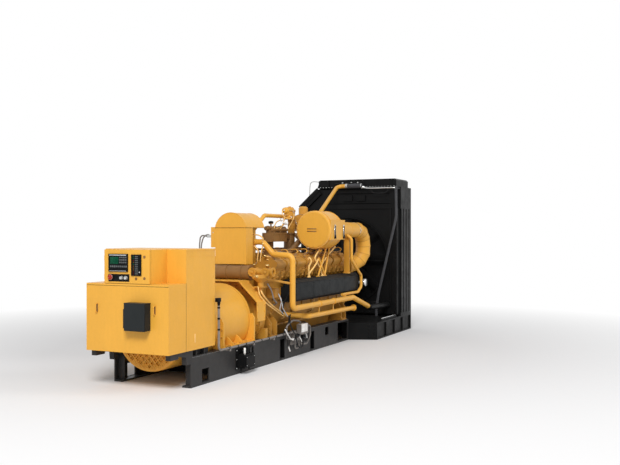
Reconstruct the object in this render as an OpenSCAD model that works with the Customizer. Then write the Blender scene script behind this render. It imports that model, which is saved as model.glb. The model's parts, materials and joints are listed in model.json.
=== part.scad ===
// Gas generator set: skid, generator with control cabinets, V engine and radiator in one line.
// X runs from the control end to the radiator, Z is up, the origin is on the floor at the centre.

/* [Skid] */
// Height of the skid rails
rail_h = 370; // [300:5:450]
// Flange width of a skid rail
rail_w = 130; // [100:5:160]
// Distance between the outer faces of the two rails
skid_w = 1160; // [1140:10:1220]
// Thickness of the rail flanges
rail_flange_t = 22; // [14:1:30]
// Thickness of the rail web
rail_web_t = 18; // [12:1:24]
// Distance from the cabinet front to the rear end of the rails
rail_setback = 503; // [460:1:560]
// Side of the square towing hole near the rail end
tow_hole = 170; // [120:5:180]
// Width of the box tubes that cross the skid
cross_w = 155; // [120:5:200]
// Wall of the box tubes that cross the skid
cross_wall = 12; // [8:1:16]
// Height of the box tubes that cross the skid
cross_h = 300; // [260:5:310]
// Distance from the cabinet front to the first box tube
cross_1 = 2880; // [2800:10:2950]
// Distance from the cabinet front to the second box tube
cross_2 = 3940; // [3850:10:4050]

/* [Radiator base] */
// Length of the radiator base along the set
base_l = 1920; // [1800:10:2000]
// Height of the radiator base
base_h = 300; // [260:5:340]
// Length of the angled shoulder between rail and base
shoulder_l = 200; // [150:10:300]
// Depth of the channel along the sides of the base
base_channel_d = 25; // [15:5:50]

/* [Radiator] */
// Width of the radiator
rad_w = 2100; // [2000:10:2300]
// Depth of the radiator frame
rad_d = 620; // [560:10:700]
// Height of the radiator frame above the floor
rad_top = 2776; // [2600:4:3000]
// Width of the frame columns
column_w = 110; // [90:5:140]
// Sideways run of the cut upper corner
corner_w = 400; // [300:10:450]
// Drop of the cut upper corner
corner_h = 346; // [300:1:400]
// Height of the top tank
tank_h = 155; // [120:5:200]
// Overhang of the top tank towards the engine
tank_overhang = 120; // [80:5:160]
// Depth of the fan shroud
shroud_d = 120; // [90:5:160]
// Diameter of the fan opening
fan_opening_d = 1640; // [1500:10:1700]
// Clearance between the fan tips and the opening
fan_tip_gap = 20; // [12:1:40]
// Number of fan blades
fan_blades = 8; // [6:1:10]
// Height of the fan axis
fan_z = 1360; // [1300:10:1400]

/* [Cabinets] */
// Width of both cabinets
cab_w = 1204; // [1180:2:1280]
// Height of the underside of the cabinets
cab_z = 465; // [440:5:500]
// Depth of the lower cabinet
low_cab_d = 365; // [300:5:420]
// Height of the top of the lower cabinet
low_cab_top = 1286; // [1200:2:1340]
// Depth of the tall cabinet
tall_cab_d = 660; // [600:5:720]
// Height of the top of the tall cabinet
tall_cab_top = 1697; // [1600:1:1800]
// How far the black cover stands out from the lower cabinet
cover_d = 117; // [80:1:140]
// Width of the black cover
cover_w = 295; // [260:5:340]
// Height of the black cover
cover_h = 320; // [260:5:350]

/* [Control panel] */
// Width of the control panel
panel_w = 658; // [600:2:720]
// Thickness of the panel door
door_t = 30; // [24:1:40]
// Sheet thickness of the panel housing
housing_t = 6; // [4:1:10]
// Clearance below and behind the panel door
door_gap = 6; // [5:1:10]
// Distance of the hinge pins from the edge of the door
hinge_off = 16; // [15:1:20]
// Radius of the hinge knuckles
knuckle_r = 9; // [8:0.5:10]
// Radius of the hinge pins
pin_r = 4; // [3:0.5:5]
// Running clearance on pins and stems
run_gap = 0.3; // [0.2:0.1:0.5]
// Radius of the emergency stop button
stop_r = 33; // [25:1:36]
// Travel of the emergency stop button
stop_travel = 6; // [4:1:8]
// Radius of the two control knobs
knob_r = 21; // [15:1:22]

/* [Generator] */
// Distance from the cabinet front to the rear face of the generator
gen_setback = 480; // [460:1:520]
// Length of the generator frame
gen_l = 1650; // [1600:10:1680]
// Radius of the generator frame
gen_r = 506; // [480:2:515]
// Height of the shaft line
shaft_z = 674; // [660:2:700]
// Thickness of the foot plates
foot_t = 30; // [20:1:40]
// Pitch of the openings in the air inlet grille
grille_pitch = 62; // [50:1:80]
// Thickness of the air inlet grille
grille_t = 25; // [15:1:40]
// Length of the folded guard over the coupling
guard_l = 240; // [200:5:260]
// Sheet thickness of the guard
guard_t = 8; // [5:1:12]
// Half width of the guard
guard_half_w = 580; // [570:1:600]

/* [Engine] */
// Length of the flywheel housing
fly_l = 150; // [120:5:180]
// Length of the engine block
block_l = 3160; // [3000:10:3200]
// Number of cylinders in a bank
bank_n = 8; // [6:1:8]
// Pitch of the cylinders
bank_pitch = 350; // [330:1:360]
// Tilt of a bank from upright
bank_tilt = 30; // [25:1:35]
// Distance from the shaft line to the deck of a bank
deck_r = 680; // [640:5:700]
// Height of a cylinder head
head_h = 165; // [140:5:180]
// Height of a rocker cover
rocker_h = 130; // [100:5:150]
// Width of a cylinder head across the bank
head_w = 330; // [300:5:340]
// Length of the black side boxes
side_box_l = 2520; // [2200:10:2600]
// Depth of the black side boxes
side_box_d = 270; // [220:5:280]
// Height of the black side boxes
side_box_h = 330; // [280:5:340]

// Clear length between the engine and the fan shroud
front_gap = 1190; // [1150:10:1300]

/* [Air system] */
// Height of the underside of the air box
box_z = 1440; // [1400:5:1480]
// Width of the air box
air_box_w = 520; // [480:5:560]
// Depth of the air box along the set
air_box_d = 200; // [160:5:240]
// Height of the straight part of the air box
air_box_h = 540; // [500:1:580]
// Length of the arched hood on the air box
hood_l = 550; // [500:5:600]
// Rise of the arched hood
arch_rise = 211; // [180:1:250]
// Radius of the air canister
canister_r = 300; // [270:5:310]
// Length of the air canister
canister_l = 560; // [500:5:600]
// Height of the canister axis
canister_z = 1945; // [1930:5:1960]
// Distance of the canister axis from the middle plane
canister_y = 600; // [560:5:640]
// Radius of the inlet duct
duct_r = 132; // [120:2:145]
// Reach of the inlet duct from the canister to its elbow
duct_l = 1345; // [1300:5:1400]

/* [Pipes] */
// Outer diameter of the coolant pipe
coolant_d = 84; // [70:1:90]
// Outer diameter of the lower pipe
lower_d = 76; // [60:1:80]
// Outer diameter of the pipe to the top tank
riser_d = 76; // [60:1:90]
// Outer diameter of the gas mixture pipe
mixture_d = 64; // [50:1:70]
// Outer diameter of the breather tube
breather_d = 48; // [36:1:54]
// Outer diameter of the black vent line
vent_d = 50; // [40:1:60]
// Outer diameter of the grey conduit
conduit_d = 30; // [25:1:35]

/* [Hidden] */
$fn = 48;

seat = 0.3;
lip_t = 3;
bead_l = 6;
bead_h = 1.5;
yellow = "#e8a62c";
black = "#1b1c1e";
grey = "#8a8c8e";

// Stations along the set
guard_gap = 50;
overall_l = cover_d + gen_setback + gen_l + guard_gap + guard_l + fly_l + block_l
    + front_gap + shroud_d + rad_d;
x_cab = -overall_l / 2 + cover_d;
x_tall = x_cab + low_cab_d;
x_tall_end = x_tall + tall_cab_d;
x_rail = x_cab + rail_setback;
x_gen = x_cab + gen_setback;
x_gen_end = x_gen + gen_l;
x_guard = x_gen_end + guard_gap;
x_fly = x_guard + guard_l;
x_block = x_fly + fly_l;
x_block_end = x_block + block_l;
x_end = overall_l / 2;
x_rad = x_end - rad_d;
x_shroud = x_rad - shroud_d;
x_base = x_end - base_l;
x_rail_end = x_base - shoulder_l;
rail_y = skid_w / 2;
base_y = rad_w / 2;
tank_top = rad_top + tank_h;
shroud_inset = 40;

// Deck of one bank, in Y and Z, for the bank at +Y
deck_mid = [deck_r * sin(bank_tilt), shaft_z + deck_r * cos(bank_tilt)];
deck_out = deck_mid + head_w / 2 * [cos(bank_tilt), -sin(bank_tilt)];
deck_in = deck_mid - head_w / 2 * [cos(bank_tilt), -sin(bank_tilt)];
valley_z = deck_in.y - 40;
flank_y = 470;
rib_d = 12;
valley_h = 130;
valley_top = valley_z + valley_h;
fly_top = shaft_z + 535;
fly_step = shaft_z + 440;
pan_z = rail_flange_t + cross_h + 8;

// Air box and hood
x_box = x_fly + 12;
x_box_end = x_box + air_box_d;
x_hood_end = x_box + hood_l;
spring_z = box_z + air_box_h;
hood_r = (pow(air_box_w / 2, 2) + arch_rise * arch_rise) / (2 * arch_rise);
neck_w = 232;

// Compressor at the front, where the inlet duct ends
comp_y = -350;
comp_z = 1290;
comp_l = 110;
x_comp = x_block_end + 60;
x_comp_end = x_comp + comp_l + 30;

// Air canister, the can over the engine and the exhaust outlet
x_drum = 235;
can_x = 600;
can_r = 92;
outlet_x = 1290;
outlet_y = 230;
outlet_r = 82;
seam_h = 3;

// Gas inlet at the outer end of the regulator
inlet_y = -730;
inlet_r = 36;

// Pipes on the service side
x_cool = x_block + 250;
side_top = 860 + side_box_h;
strap_xs = [5, 558];
coolant_y = -820;
coolant_z = 785;
lower_y = -790;
lower_z = 600;
// end of the coolant pipe and the way its last leg runs
cool_end = [x_block_end + 160, coolant_y, coolant_z - 205];
cool_dir = unit([720, 0, -205]);

// Hose between the pipe from the engine and the top tank
hose_x = x_shroud - 90;
hose_y = -10;
hose_z = rad_top + 24;

// ---- Helpers ----

// Box between two opposite corners
module block(a, b) {
    translate(a) cube(b - a);
}

// Outline in Y and Z drawn out along X from x0 to x1
module prism_x(x0, x1) {
    translate([x0, 0, 0]) rotate([90, 0, 90]) linear_extrude(x1 - x0) children();
}

// Outline in X and Z drawn out along Y from y0 to y1
module prism_y(y0, y1) {
    translate([0, y1, 0]) rotate([90, 0, 0]) linear_extrude(y1 - y0) children();
}

// Round bar along X
module bar_x(x0, x1, r, y = 0, z = 0) {
    translate([x0, y, z]) rotate([0, 90, 0]) cylinder(h = x1 - x0, r = r);
}

// Round bar along Y
module bar_y(y0, y1, r, x = 0, z = 0) {
    translate([x, y0, z]) rotate([-90, 0, 0]) cylinder(h = y1 - y0, r = r);
}

// Rectangle in Y and Z between two corners
module square_yz(y0, z0, y1, z1) {
    translate([y0, z0]) square([y1 - y0, z1 - z0]);
}

// Rectangle with its two upper corners rounded
module rounded_top(w, h, r) {
    translate([-w / 2, 0]) square([w, h - r]);
    translate([-w / 2 + r, 0]) square([w - 2 * r, h]);
    for (x = [-w / 2 + r, w / 2 - r])
        translate([x, h - r]) circle(r = r);
}

// Same thing on both sides of the middle plane
module both_sides() {
    children();
    mirror([0, 1, 0]) children();
}

function unit(v) = v / norm(v);

// Straight round bar between two points
module bar(a, b, r) {
    v = b - a;
    translate(a)
        rotate([0, acos(v.z / norm(v)), atan2(v.y, v.x)])
        cylinder(h = norm(v), r = r);
}

// Length that a bend of radius rb takes from each leg at a corner
function bend_cut(a, b, c, rb) = rb * tan(acos(unit(b - a) * unit(c - b)) / 2);

// Bend round the corner b of the route a, b, c
module bend(a, b, c, r, rb) {
    u = unit(b - a);
    v = unit(c - b);
    turn = acos(u * v);
    side = unit(v - u * (u * v));
    start = b - u * bend_cut(a, b, c, rb);
    centre = start + side * rb;
    ax = -side;
    az = cross(ax, u);
    trim = bead_l / 6 / rb * 180 / PI;
    multmatrix([
        [ax.x, u.x, az.x, centre.x],
        [ax.y, u.y, az.y, centre.y],
        [ax.z, u.z, az.z, centre.z],
        [0, 0, 0, 1]
    ])
        rotate([0, 0, trim])
        rotate_extrude(angle = turn - 2 * trim) translate([rb, 0]) circle(r = r);
    // weld beads where the bend meets its legs
    bar(start - u * bead_l / 2, start + u * bead_l / 2, r + bead_h);
    finish = b + v * bend_cut(a, b, c, rb);
    bar(finish - v * bead_l / 2, finish + v * bead_l / 2, r + bead_h);
}

// Round pipe along a route of points, with bends of radius rb welded in at its corners
module pipe(route, r, rb) {
    last = len(route) - 1;
    cuts = [for (i = [0 : last])
        i == 0 || i == last ? 0 : bend_cut(route[i - 1], route[i], route[i + 1], rb) + bead_l / 6];
    for (i = [0 : last - 1]) {
        u = unit(route[i + 1] - route[i]);
        bar(route[i] + u * cuts[i], route[i + 1] - u * cuts[i + 1], r);
    }
    for (i = [1 : last - 1])
        bend(route[i - 1], route[i], route[i + 1], r, rb);
}

// ---- Skid ----

anchor_r = 14;
anchor_y = rail_y - rail_w / 2 - rail_web_t / 2;
anchor_xs = [x_rail + 150, x_rail_end - 150];

// Channel section of a rail, open towards the middle
module rail_section() {
    difference() {
        translate([-rail_y, 0]) square([rail_w, rail_h]);
        translate([-rail_y + rail_web_t, rail_flange_t])
            square([rail_w, rail_h - 2 * rail_flange_t]);
    }
}

module rail() {
    tow_x = x_rail + 248;
    tow_z = rail_flange_t + 5;
    small_x = x_rail_end - 1010;
    difference() {
        prism_x(x_rail, x_rail_end) rail_section();
        // square towing hole
        web_opening(tow_x, tow_x + tow_hole, tow_z, tow_z + tow_hole);
        // openings for the two box tubes
        for (x = [x_cab + cross_1, x_cab + cross_2])
            web_opening(x, x + cross_w, rail_flange_t, rail_flange_t + cross_h);
        // small cable opening and the large one beside the shoulder of the base
        web_opening(small_x, small_x + 140, rail_h - 180, rail_h - 45);
        web_opening(x_rail_end - 480, x_rail_end - 30, rail_flange_t + 8, rail_h - rail_flange_t - 8);
        for (x = anchor_xs)
            translate([x, -anchor_y, -1]) cylinder(h = rail_flange_t + 2, r = anchor_r);
    }
    // web stiffeners
    for (x = [x_rail + 60, x_rail + 800, x_rail + 1500, x_rail_end - 560])
        block([x, -rail_y + rail_web_t, rail_flange_t], [x + 16, -rail_y + rail_w - 12, rail_h - rail_flange_t]);
}

// Rectangular opening through the web of a rail
module web_opening(x0, x1, z0, z1) {
    block([x0, -rail_y - 1, z0], [x1, -rail_y + rail_web_t + 1, z1]);
}

module rail_right() { color(black) rail(); }
module rail_left() { color(black) mirror([0, 1, 0]) rail(); }

// Plate that ties the rails together under the generator end
module cross_member_rear() {
    reach = rail_y - rail_w + 60;
    x = x_rail + 900;
    color(black) {
        block([x, -reach, rail_flange_t], [x + 20, reach, 150]);
        block([x + 20, -reach, rail_flange_t], [x + 110, reach, rail_flange_t + 16]);
    }
}

// Box tube whose open ends show in the rail webs
module cross_tube(x) {
    z0 = rail_flange_t;
    z1 = rail_flange_t + cross_h;
    color(black)
        difference() {
            block([x, -rail_y, z0], [x + cross_w, rail_y, z1]);
            block([x + cross_wall, -rail_y - 1, z0 + cross_wall],
                  [x + cross_w - cross_wall, rail_y + 1, z1 - cross_wall]);
        }
}

module cross_member_middle() { cross_tube(x_cab + cross_1); }
module cross_member_front() { cross_tube(x_cab + cross_2); }

// ---- Radiator base ----

base_plate_t = 16;

module base_outline() {
    polygon([
        [x_rail_end, -rail_y], [x_base, -base_y], [x_end, -base_y],
        [x_end, base_y], [x_base, base_y], [x_rail_end, rail_y]
    ]);
}

module radiator_base() {
    rib_n = 4;
    rib_t = 14;
    bay = (x_end - x_base - 60) / rib_n;
    color(black) {
        difference() {
            linear_extrude(base_h) base_outline();
            // open pocket between the shoulders, where the engine's front end reaches in
            block([x_rail_end - 1, -rail_y + rail_w, -1],
                  [x_base + 900, rail_y - rail_w, base_h - base_plate_t]);
            // channel along each side, broken by ribs
            both_sides()
                for (i = [0 : rib_n - 1])
                    block([x_base + 30 + i * bay, -base_y - 1, 24],
                          [x_base + 30 + (i + 1) * bay - rib_t, -base_y + base_channel_d, base_h - 24]);
        }
        // deck plate with its edge standing up beside the radiator
        both_sides()
            block([x_base + 330, -base_y + 40, base_h], [x_rad - 150, -base_y + 52, base_h + 40]);
    }
}

// ---- Radiator ----

// Outline of the radiator seen along the set, with one upper corner cut off
module rad_outline(inset = 0) {
    b = base_y - inset;
    t = rad_top - inset;
    polygon([
        [-b, base_h + inset], [-b, t],
        [base_y - corner_w, t], [b, rad_top - corner_h - inset * 0.4], [b, base_h + inset]
    ]);
}

module radiator_frame() {
    color(black)
        difference() {
            prism_x(x_rad, x_end) rad_outline();
            prism_x(x_rad - 1, x_end + 1) rad_outline(column_w);
            // grooves down the near and far columns
            both_sides()
                for (x = [x_rad + 130, x_rad + 300, x_rad + 470])
                    block([x, -base_y - 1, base_h + 60], [x + 44, -base_y + 22, rad_top - corner_h - 70]);
            // step at the outer edge of the columns
            both_sides()
                block([x_rad - 1, -base_y - 1, base_h + 60], [x_rad + 40, -base_y + 30, rad_top - corner_h - 70]);
        }
}

module radiator_core() {
    color("#26282b")
        prism_x(x_rad + 120, x_end - 60) rad_outline(column_w);
}

module top_tank() {
    x0 = x_rad - tank_overhang;
    x1 = x_end - 40;
    y0 = -base_y + 50;
    y1 = base_y - corner_w;
    color(black) {
        prism_x(x0, x1)
            polygon([
                [y0, rad_top], [y0, tank_top - 30], [y0 + 30, tank_top],
                [y1 - 60, tank_top], [y1, rad_top]
            ]);
        // header box at the far end and stiffeners along the front
        block([x0 - 24, y1 - 260, rad_top + 20], [x0, y1 - 40, tank_top - 14]);
        for (y = [y0 + 90 : 280 : y1 - 320])
            block([x0 - 10, y, rad_top + 14], [x0, y + 16, tank_top - 20]);
        // flange along the bottom of the front
        block([x0 - 26, y0, rad_top], [x0, y1 - 30, rad_top + 14]);
    }
}

// ---- Fan and shroud ----

module fan_shroud() {
    ring_r = fan_opening_d / 2;
    lip = 30;
    field_z = rad_top - 415;
    color(black) {
        difference() {
            prism_x(x_shroud, x_rad) rad_outline(shroud_inset);
            bar_x(x_shroud - 1, x_rad + 1, ring_r, 0, fan_z);
            // recessed panel field
            prism_x(x_shroud - 1, x_shroud + 14)
                difference() {
                    square_yz(-base_y + 130, base_h + 200, base_y - 130, field_z);
                    translate([0, fan_z]) circle(r = ring_r + 45);
                }
            // recess under the top tank
            block([x_shroud - 1, -base_y + 180, field_z + 90], [x_shroud + 40, base_y - 640, rad_top - 110]);
        }
        // two access covers in that recess
        for (y = [-360, -90])
            block([x_shroud + 6, y, field_z + 150], [x_shroud + 41, y + 180, field_z + 265]);
        // rolled lip round the fan opening
        difference() {
            bar_x(x_shroud - lip, x_shroud + 12, ring_r + 12, 0, fan_z);
            bar_x(x_shroud - lip - 1, x_shroud + 13, ring_r, 0, fan_z);
        }
        corner_member();
        // rubber hose from the coolant pipe to the lower tank
        pipe([
            cool_end + cool_dir * seat, cool_end + cool_dir * 100, [x_shroud + 1, coolant_y, 520]
        ], coolant_d / 2 + 8, 200);
    }
}

// Strut along the cut corner, standing out in front of the shroud
module corner_member() {
    out_x = 50;
    w = 150;
    a = [base_y - 12, rad_top - corner_h - 8];
    b = [base_y - corner_w - 4, rad_top - seat];
    n = [-corner_h, -corner_w] / norm([corner_h, corner_w]);
    prism_x(x_shroud - out_x, x_shroud + 1) polygon([a, b, b + n * w, a + n * w]);
    prism_x(x_shroud - out_x - 12, x_shroud + 1)
        polygon([a + n * w * 0.35, b + n * w * 0.35, b + n * w * 0.55, a + n * w * 0.55]);
}

// One blade with a curved section, standing along Z from the hub
module fan_blade(r0, r1) {
    chord = 250;
    curve_r = 330;
    rotate([0, 0, 35])
        translate([0, 0, r0])
        linear_extrude(r1 - r0)
        intersection() {
            translate([curve_r, 0]) difference() {
                circle(r = curve_r);
                circle(r = curve_r - 8);
            }
            translate([-1, -chord / 2]) square([60, chord]);
        }
}

module fan() {
    hub_r = 170;
    x_mid = x_shroud + 20;
    color("#2a2c2f")
        translate([x_mid, 0, fan_z]) {
            for (i = [0 : fan_blades - 1])
                rotate([i * 360 / fan_blades, 0, 0]) fan_blade(hub_r - 20, fan_opening_d / 2 - fan_tip_gap);
            bar_x(-60, 60, hub_r);
            bar_x(-(x_mid - x_block_end - 260), -60, 45);
        }
}

// ---- Cabinets ----

module lower_cabinet() {
    handle_z = low_cab_top - 350;
    color(yellow) {
        difference() {
            block([x_cab, -cab_w / 2, cab_z], [x_tall, cab_w / 2, low_cab_top]);
            // folded edge under the top sheet
            block([x_cab - 1, -cab_w / 2 - 1, low_cab_top - 26], [x_cab + 3, cab_w / 2 + 1, low_cab_top - 22]);
        }
        for (y = [-410, 438])
            grip(x_cab, y, handle_z);
    }
}

// Bar handle on the front panel
module grip(x, y, z) {
    reach = 30;
    pipe([[x, y, z], [x - reach, y, z], [x - reach, y, z + 100], [x, y, z + 100]], 6, 14);
}

module tall_cabinet() {
    x_back = x_gen - grille_t - 12;
    groove = 4;
    color(yellow) {
        difference() {
            block([x_tall, -cab_w / 2, cab_z], [x_tall_end, cab_w / 2, tall_cab_top]);
            bar_x(x_back, x_tall_end + 1, gen_r + seat, 0, shaft_z);
            block([x_back, -gen_r - seat, cab_z - 1], [x_tall_end + 1, gen_r + seat, shaft_z]);
            // joint with the lower cabinet
            both_sides()
                block([x_tall - 1, -cab_w / 2 - 1, cab_z - 1], [x_tall + groove, -cab_w / 2 + groove, low_cab_top]);
            // cable notch in the rear edge
            block([x_tall_end - 14, -cab_w / 2 - 1, 1010], [x_tall_end + 1, -cab_w / 2 + 30, 1070]);
        }
        // rain lip round the top
        block([x_tall, -cab_w / 2 - lip_t, tall_cab_top - 20], [x_tall_end, -cab_w / 2, tall_cab_top]);
        block([x_tall, cab_w / 2, tall_cab_top - 20], [x_tall_end, cab_w / 2 + lip_t, tall_cab_top]);
    }
}

// Beams that carry the cabinets on the rails
module cabinet_brackets() {
    x0 = x_cab + 70;
    x1 = x_tall_end - 40;
    wall = 12;
    web = 58;
    color(black)
        both_sides() {
            difference() {
                // beam that thins towards its free end, with a knee in front of the rail
                prism_y(-rail_y, -rail_y + 70)
                    polygon([
                        [x0, cab_z - 74], [x0, cab_z], [x1, cab_z], [x1, rail_h], [x_rail, rail_h],
                        [x_rail, rail_h - 75], [x_rail - 90, rail_h - 75], [x_rail - 100, cab_z - 76],
                        [x0 + 170, cab_z - 46], [x0 + 160, cab_z - 74]
                    ]);
                block([x_rail + 40, -rail_y - 1, rail_h + wall], [x1 + 1, -rail_y + web, cab_z - wall]);
            }
            // gusset plates between the flanges
            for (x = [x_rail + 120, x_rail + 300])
                block([x, -rail_y + 2, rail_h + wall], [x + 10, -rail_y + web, cab_z - wall]);
        }
}

// Black cover over the air opening, open at the bottom
module vent_cover() {
    y0 = -cover_w - 52;
    y1 = -52;
    z0 = 745;
    x0 = x_cab - cover_d;
    skin = 4;
    color(black) {
        difference() {
            block([x0, y0, z0], [x_cab, y1, z0 + cover_h]);
            // open underside for the air
            block([x0 + skin, y0 + skin, z0 - 1], [x_cab - skin, y1 - skin, z0 + cover_h * 0.4]);
        }
        // hinge strip along one side
        block([x0 + 24, y1, z0 + 22], [x_cab, y1 + 32, z0 + cover_h - 70]);
        // rain lip over the top
        block([x0, y0 - 6, z0 + cover_h], [x_cab, y1 + 6, z0 + cover_h + 6]);
    }
}

// ---- Control panel ----

x_door = x_cab;
x_hinge = x_cab + door_t;
y_hinge = panel_w / 2 + hinge_off;
door_z0 = low_cab_top + door_gap;
door_z1 = tall_cab_top - 2;
hinge_zs = [door_z0 + 70, door_z1 - 110];

module control_housing() {
    x0 = x_hinge + door_gap;
    w = panel_w / 2;
    color(yellow) {
        difference() {
            block([x0, -w, low_cab_top], [x_tall, w, tall_cab_top]);
            block([x0 - 1, -w + housing_t, low_cab_top + housing_t],
                  [x_tall - housing_t, w - housing_t, tall_cab_top - housing_t]);
        }
        for (z = hinge_zs) {
            // leaf on the side wall, lug below the knuckle and the pin
            block([x_hinge, y_hinge - 4, z - 24], [x0 + 40, y_hinge, z - 2]);
            block([x0, w, z - 24], [x0 + 40, y_hinge, z - 2]);
            translate([x_hinge, y_hinge, z - 24]) cylinder(h = 22, r = knuckle_r);
            translate([x_hinge, y_hinge, z - 24]) cylinder(h = 62, r = pin_r);
        }
    }
}

// Black plate behind the stop button and the knobs
plate_t = 4;
x_plate = x_door - plate_t;

// Places of the fittings on the door, from its left edge and top edge
function door_y(f) = panel_w / 2 - f * panel_w;
function door_zf(f) = door_z1 - f * (door_z1 - door_z0);
stop_y = door_y(0.159);
stop_z = door_zf(0.822);
volt_y = door_y(0.400);
speed_y = door_y(0.500);
knob_z = door_zf(0.834);
stem_r = 11;
knob_stem_r = 5;

module control_door() {
    w = panel_w / 2;
    color(yellow)
        difference() {
            union() {
                block([x_door, -w, door_z0], [x_hinge, w, door_z1]);
                for (z = hinge_zs) {
                    block([x_hinge - knuckle_r, w, z], [x_hinge - 2, y_hinge, z + 34]);
                    translate([x_hinge, y_hinge, z]) cylinder(h = 34, r = knuckle_r);
                }
            }
            for (z = hinge_zs)
                translate([x_hinge, y_hinge, z - 1]) cylinder(h = 36, r = pin_r + run_gap);
            bar_x(x_door - 1, x_hinge + 1, stem_r + run_gap, stop_y, stop_z);
            for (y = [volt_y, speed_y])
                bar_x(x_door - 1, x_hinge + 1, knob_stem_r + run_gap, y, knob_z);
        }
}

// Raised module with a screen and keys, and the plate under it
module display_module() {
    y1 = door_y(0.109);
    y0 = door_y(0.537);
    z1 = door_zf(0.129);
    z0 = door_zf(0.656);
    depth = 16;
    color("#222426") {
        difference() {
            block([x_door - depth, y0, z0], [x_door, y1, z1]);
            // screen window and key field
            block([x_door - depth - 1, y0 + 0.46 * (y1 - y0), z0 + 92], [x_door - depth + 3, y1 - 20, z1 - 34]);
            block([x_door - depth - 1, y0 + 18, z0 + 40], [x_door - depth + 2, y1 - 20, z0 + 82]);
        }
        // bars along the top and the bottom
        block([x_door - depth - 4, y0 + 6, z1 - 18], [x_door - depth, y1 - 6, z1 - 6]);
        block([x_door - depth - 4, y0 + 6, z0 + 6], [x_door - depth, y1 - 6, z0 + 18]);
        switch_plate();
    }
}

// Plate round the stop button and the knobs
module switch_plate() {
    difference() {
        block([x_plate, door_y(0.5625), door_zf(0.947)], [x_door, door_y(0.096), door_zf(0.726)]);
        bar_x(x_plate - 1, x_door + 1, stem_r + run_gap, stop_y, stop_z);
        for (y = [volt_y, speed_y])
            bar_x(x_plate - 1, x_door + 1, knob_stem_r + run_gap, y, knob_z);
    }
}

// Strip of alarm lamps
module alarm_strip() {
    y1 = door_y(0.612);
    y0 = door_y(0.831);
    z1 = door_zf(0.141);
    z0 = door_zf(0.767);
    depth = 12;
    lamp_n = 10;
    pitch = (z1 - z0 - 48) / (lamp_n - 1);
    color("#222426") {
        difference() {
            block([x_door - depth, y0, z0], [x_door, y1, z1]);
            block([x_door - depth - 1, y0 + 14, z0 + 14], [x_door - depth + 2, y1 - 14, z1 - 14]);
        }
        // row of lamps
        for (i = [0 : lamp_n - 1])
            bar_x(x_door - depth - 2, x_door - depth + 3, 7, y0 + 32, z0 + 24 + i * pitch);
    }
}

module stop_button() {
    rest_gap = stop_travel + 10;
    color("#b3201c") {
        bar_x(x_door - rest_gap - 14, x_door - rest_gap, stop_r, stop_y, stop_z);
        translate([x_door - rest_gap - 22, stop_y, stop_z]) rotate([0, 90, 0])
            cylinder(h = 8, r1 = stop_r - 8, r2 = stop_r);
        bar_x(x_door - rest_gap, x_hinge, stem_r, stop_y, stop_z);
    }
}

module control_knob(y) {
    gap = 9;
    x0 = x_door - gap - 22;
    color("#d8d8d4")
        difference() {
            union() {
                bar_x(x0, x_door - gap - 6, knob_r - 3, y, knob_z);
                bar_x(x_door - gap - 6, x_door - gap, knob_r, y, knob_z);
                bar_x(x_door - gap, x_hinge, knob_stem_r, y, knob_z);
            }
            // pointer groove
            block([x0 - 1, y - 2, knob_z], [x0 + 3, y + 2, knob_z + knob_r + 1]);
        }
}

module volt_knob() { control_knob(volt_y); }
module speed_knob() { control_knob(speed_y); }

// ---- Generator ----

module generator_frame() {
    nose_r = gen_r * 0.72;
    groove = 5;
    color(yellow) {
        difference() {
            bar_x(x_gen, x_gen_end, gen_r, 0, shaft_z);
            // welded seams of the frame rings
            for (x = [x_gen + 60, x_tall_end + 190, x_gen_end - 60])
                difference() {
                    bar_x(x, x + 8, gen_r + 1, 0, shaft_z);
                    bar_x(x - 1, x + 9, gen_r - groove, 0, shaft_z);
                }
        }
        bar_x(x_gen_end, x_guard + guard_l - 40, nose_r, 0, shaft_z);
        // lifting lugs on top
        for (x = [x_tall_end + 90, x_gen_end - 240])
            difference() {
                block([x, -12, shaft_z + gen_r - 20], [x + 110, 12, shaft_z + gen_r + 12]);
                bar_y(-13, 13, 4, x + 55, shaft_z + gen_r + 4);
            }
    }
}

// Round grille plate with a diamond pattern of openings
module inlet_grille() {
    rim_r = gen_r - 4;
    reach = rim_r - 60;
    color(yellow)
        prism_x(x_gen - grille_t, x_gen)
            difference() {
                translate([0, shaft_z]) circle(r = rim_r);
                translate([0, shaft_z])
                    rotate(45)
                    for (u = [-9 : 9], v = [-9 : 9])
                        if (norm([u, v]) * grille_pitch < reach && (u + v) < -3)
                            translate([u * grille_pitch, v * grille_pitch])
                                square(grille_pitch * 0.72, center = true);
            }
}

module generator_feet() {
    x0 = x_tall_end + 252;
    x1 = x_gen_end;
    top = rail_h + 400;
    plate_in = sqrt(gen_r * gen_r - pow(shaft_z - rail_h - foot_t, 2)) + seat;
    color(yellow)
        both_sides()
            difference() {
                union() {
                    block([x0, -rail_y, rail_h], [x1, -plate_in + 60, rail_h + foot_t]);
                    // end plates with a sloped outer corner
                    for (x = [x0, x1 - 30])
                        prism_x(x, x + 30)
                            polygon([
                                [-rail_y + 6, rail_h], [-rail_y + 6, top - 60], [-rail_y + 40, top],
                                [-gen_r + 150, top], [-gen_r + 150, rail_h]
                            ]);
                    // low gussets between them
                    for (x = [x0 + 250, x0 + 500])
                        prism_x(x, x + 16)
                            polygon([
                                [-rail_y + 14, rail_h], [-rail_y + 14, rail_h + 60], [-gen_r + 40, rail_h + 150],
                                [-gen_r + 150, rail_h + 150], [-gen_r + 150, rail_h]
                            ]);
                }
                bar_x(x0 - 1, x1 + 1, gen_r + seat, 0, shaft_z);
            }
}

// Folded sheet over the coupling
module guard_line(off) {
    g = guard_half_w - off;
    t = shaft_z + 535 - off;
    k = off * 0.41;
    polygon([
        [-g, rail_h], [-g, shaft_z + 245 - k], [-g + 300 - k, t],
        [g - 300 + k, t], [g, shaft_z + 245 - k], [g, rail_h]
    ]);
}

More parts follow.
